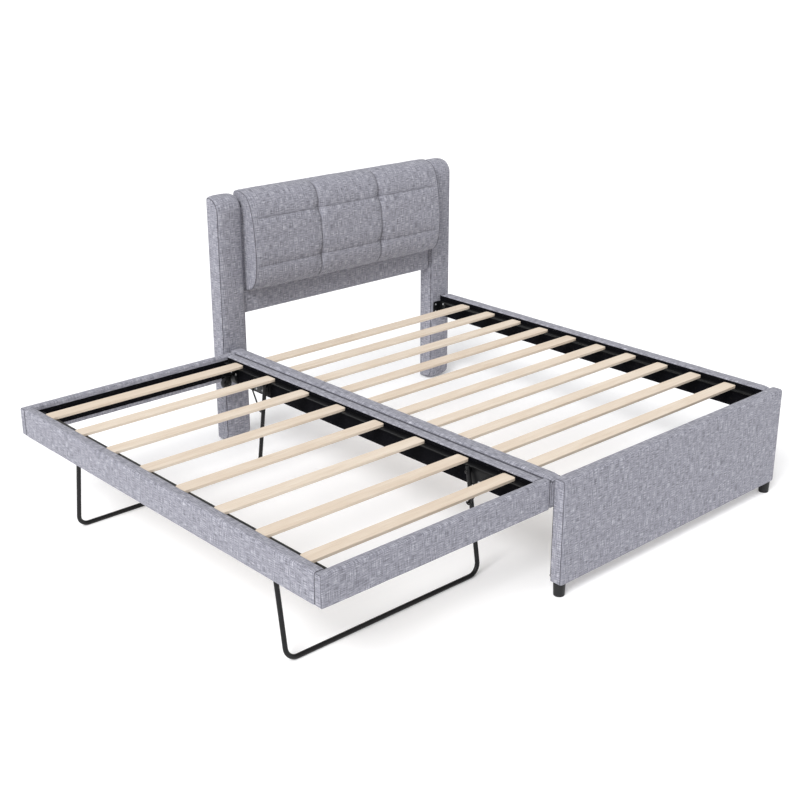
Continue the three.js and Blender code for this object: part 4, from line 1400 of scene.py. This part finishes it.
def set_out(name, tree, shape, paths, body, slot, **values):
    """Runs a set-out tree over paths; each path is a list of (spot, run, outward) in frame metres."""
    points = []
    edges = []
    runs = []
    outs = []
    for path in paths:
        edges += [(len(points) + i, len(points) + i + 1) for i in range(len(path) - 1)]
        for spot, run, outward in path:
            points.append(spot)
            runs.extend(run)
            outs.extend(outward)
    piece = make_object(name, points, [])
    piece.data.clear_geometry()
    piece.data.from_pydata([tuple(spot) for spot in points], edges, [])
    piece.data.attributes.new("run", "FLOAT_VECTOR", "POINT").data.foreach_set("vector", runs)
    piece.data.attributes.new("out", "FLOAT_VECTOR", "POINT").data.foreach_set("vector", outs)
    pattern = make_object("shape", [spot * MM for spot in shape.points], shape.faces)
    face_outwards(pattern)
    pattern.data.shade_smooth()
    pattern.data.set_sharp_from_angle(angle=math.radians(40))
    grow(piece, tree, {"Shape": pattern, **values})
    bpy.data.objects.remove(pattern)
    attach(piece, body)
    return piece


# %% Staples along the liners
STAPLE_SPACING = 55
STAPLE_CROWN = 10
STAPLE_WIRE = 0.65

staple = Metalwork()
half = STAPLE_CROWN / 2
wire = [(-half, 0, -2), (-half, 0, -0.2), (-half + 0.6, 0, 0.3), (half - 0.6, 0, 0.3), (half, 0, -0.2)]
staple.rod(wire + [(half, 0, -2)], STAPLE_WIRE, 8, 0.1)
staple_row = set_out_tree("staple row", black_coat, True)
for body, edges in liner_edges.items():
    paths = []
    for start, end, outward in edges:
        run = (end - start).normalized()
        paths.append([(place(*start), run, outward), (place(*end), run, outward)])
    set_out(f"{body}_staples", staple_row, staple, paths, body, "black_steel", **{
        "Spacing": STAPLE_SPACING * MM, "Crookedness": math.radians(9), "Seed": 5})

# %% Button-head bolts on the plates
bolt = Metalwork()
button_head = [
    (5.6, -0.2), (5.6, 0.5), (5.2, 1.5), (4.3, 2.4), (3.1, 2.9), (2.3, 3.0), (2.1, 1.3), (0.6, 1.1)]
bolt.turned(button_head, (0, 0, 0), (0, 0, 1), 18)
plate_bolts = set_out_tree("plate bolts", zinc, False)
trundle_bolts = []
for end, (end_y, away) in ENDS.items():
    for side, (face_x, inward) in SIDES.items():
        out = Vector((inward, 0, 0))
        corner_places = [(LEG_PIVOT_END - 40, LEG_PIVOT_Z - 38), (BRACE_PIVOT_END + 6, LEG_PIVOT_Z - 40),
                         (WHEEL_END - 17, frame_bottom + 46), (WHEEL_END + 17, frame_bottom + 46)]
        for reach, height in corner_places:
            spot = place(face_x + inward * 3.4, end_y + away * reach, height)
            trundle_bolts.append([(spot, LENGTHWAYS, out)])
bed_bolts = []
for end in ("foot", "head"):
    for rail, side in (("near", -1), ("far", 1)):
        low, high = node_box(f"corner_bracket_{end}_{rail}")
        corner_x, into = (low[0], 1) if side < 0 else (high[0], -1)
        corner_y, away = (low[1], 1) if end == "foot" else (high[1], -1)
        for height in (low[2] + 14, high[2] - 14):
            spot = place(corner_x + into * 30, corner_y + away * 3.1, height)
            bed_bolts.append([(spot, ACROSS, Vector((0, away, 0)))])
            spot = place(corner_x + into * 3.1, corner_y + away * 30, height)
            bed_bolts.append([(spot, LENGTHWAYS, Vector((into, 0, 0)))])
set_out("trundle_frame_bolts", plate_bolts, bolt, trundle_bolts, "trundle_frame", "black_steel", Seed=2)
set_out("main_bed_bolts", plate_bolts, bolt, bed_bolts, "main_bed", "black_steel", Seed=4)

# %% Lockstitch along the cushion's channels
STITCH_SPACING = 7
STITCH_HALF = 2.6

thread, tree, shader = start_material("dark grey polyester thread", 0.7)
spot = add_node(tree, "ShaderNodeTexCoord").outputs["Object"]
twist = streaks(tree, spot, (0.8 * MM, 0.8 * MM, 0.8 * MM), 2.0)
tree.links.new(ramp(tree, twist, [(0.35, "#44444C"), (0.65, "#5E5E68")]), shader.inputs["Base Color"])
bump(tree, shader, twist, 0.1 * MM, 0.6)
stitch = Metalwork()
shoulder = STITCH_HALF * 0.7
loop = [
    (-STITCH_HALF, 0, -0.9), (-shoulder, 0, 0.2), (0, 0, 0.5), (shoulder, 0, 0.2), (STITCH_HALF, 0, -0.9)]
stitch.rod(loop, 0.5, 6, 0.1)
stitch_row = set_out_tree("stitch row", thread, True)
cover_tree = BVHTree.FromPolygons(
    [vertex.co.copy() for vertex in cushion.data.vertices],
    [tuple(face.vertices) for face in cushion.data.polygons])


def stitch_path(spots):
    """A path over the front of the cushion through bed (x, z) places."""
    landed = []
    for x, z in spots:
        hit, normal, _, _ = cover_tree.ray_cast(place(x, 1850, z), LENGTHWAYS)
        if hit is not None:
            landed.append((hit, normal))
    path = []
    for i, (hit, normal) in enumerate(landed):
        run = (landed[min(i + 1, len(landed) - 1)][0] - landed[max(i - 1, 0)][0]).normalized()
        path.append((hit, run, normal))
    return path


reach = CUSHION_HALF - 40
channels = [stitch_path([(x, z) for z in range(738, 1150, 8)]) for x in CHANNEL_X]
channels += [stitch_path([(x, z) for x in range(-int(reach), int(reach), 8)]) for z in CHANNEL_Z]
set_out("cushion_stitches", stitch_row, stitch, channels, "main_bed", "linen_fabric", **{
    "Spacing": STITCH_SPACING * MM, "Seed": 6})

# %% Coat on the slat angles
for name in ("main_slat_angle_near", "main_slat_angle_far", "trundle_slat_angle_outer",
             "trundle_slat_angle_inner"):
    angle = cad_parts[name]
    angle.data.materials.clear()
    angle.data.materials.append(black_coat)
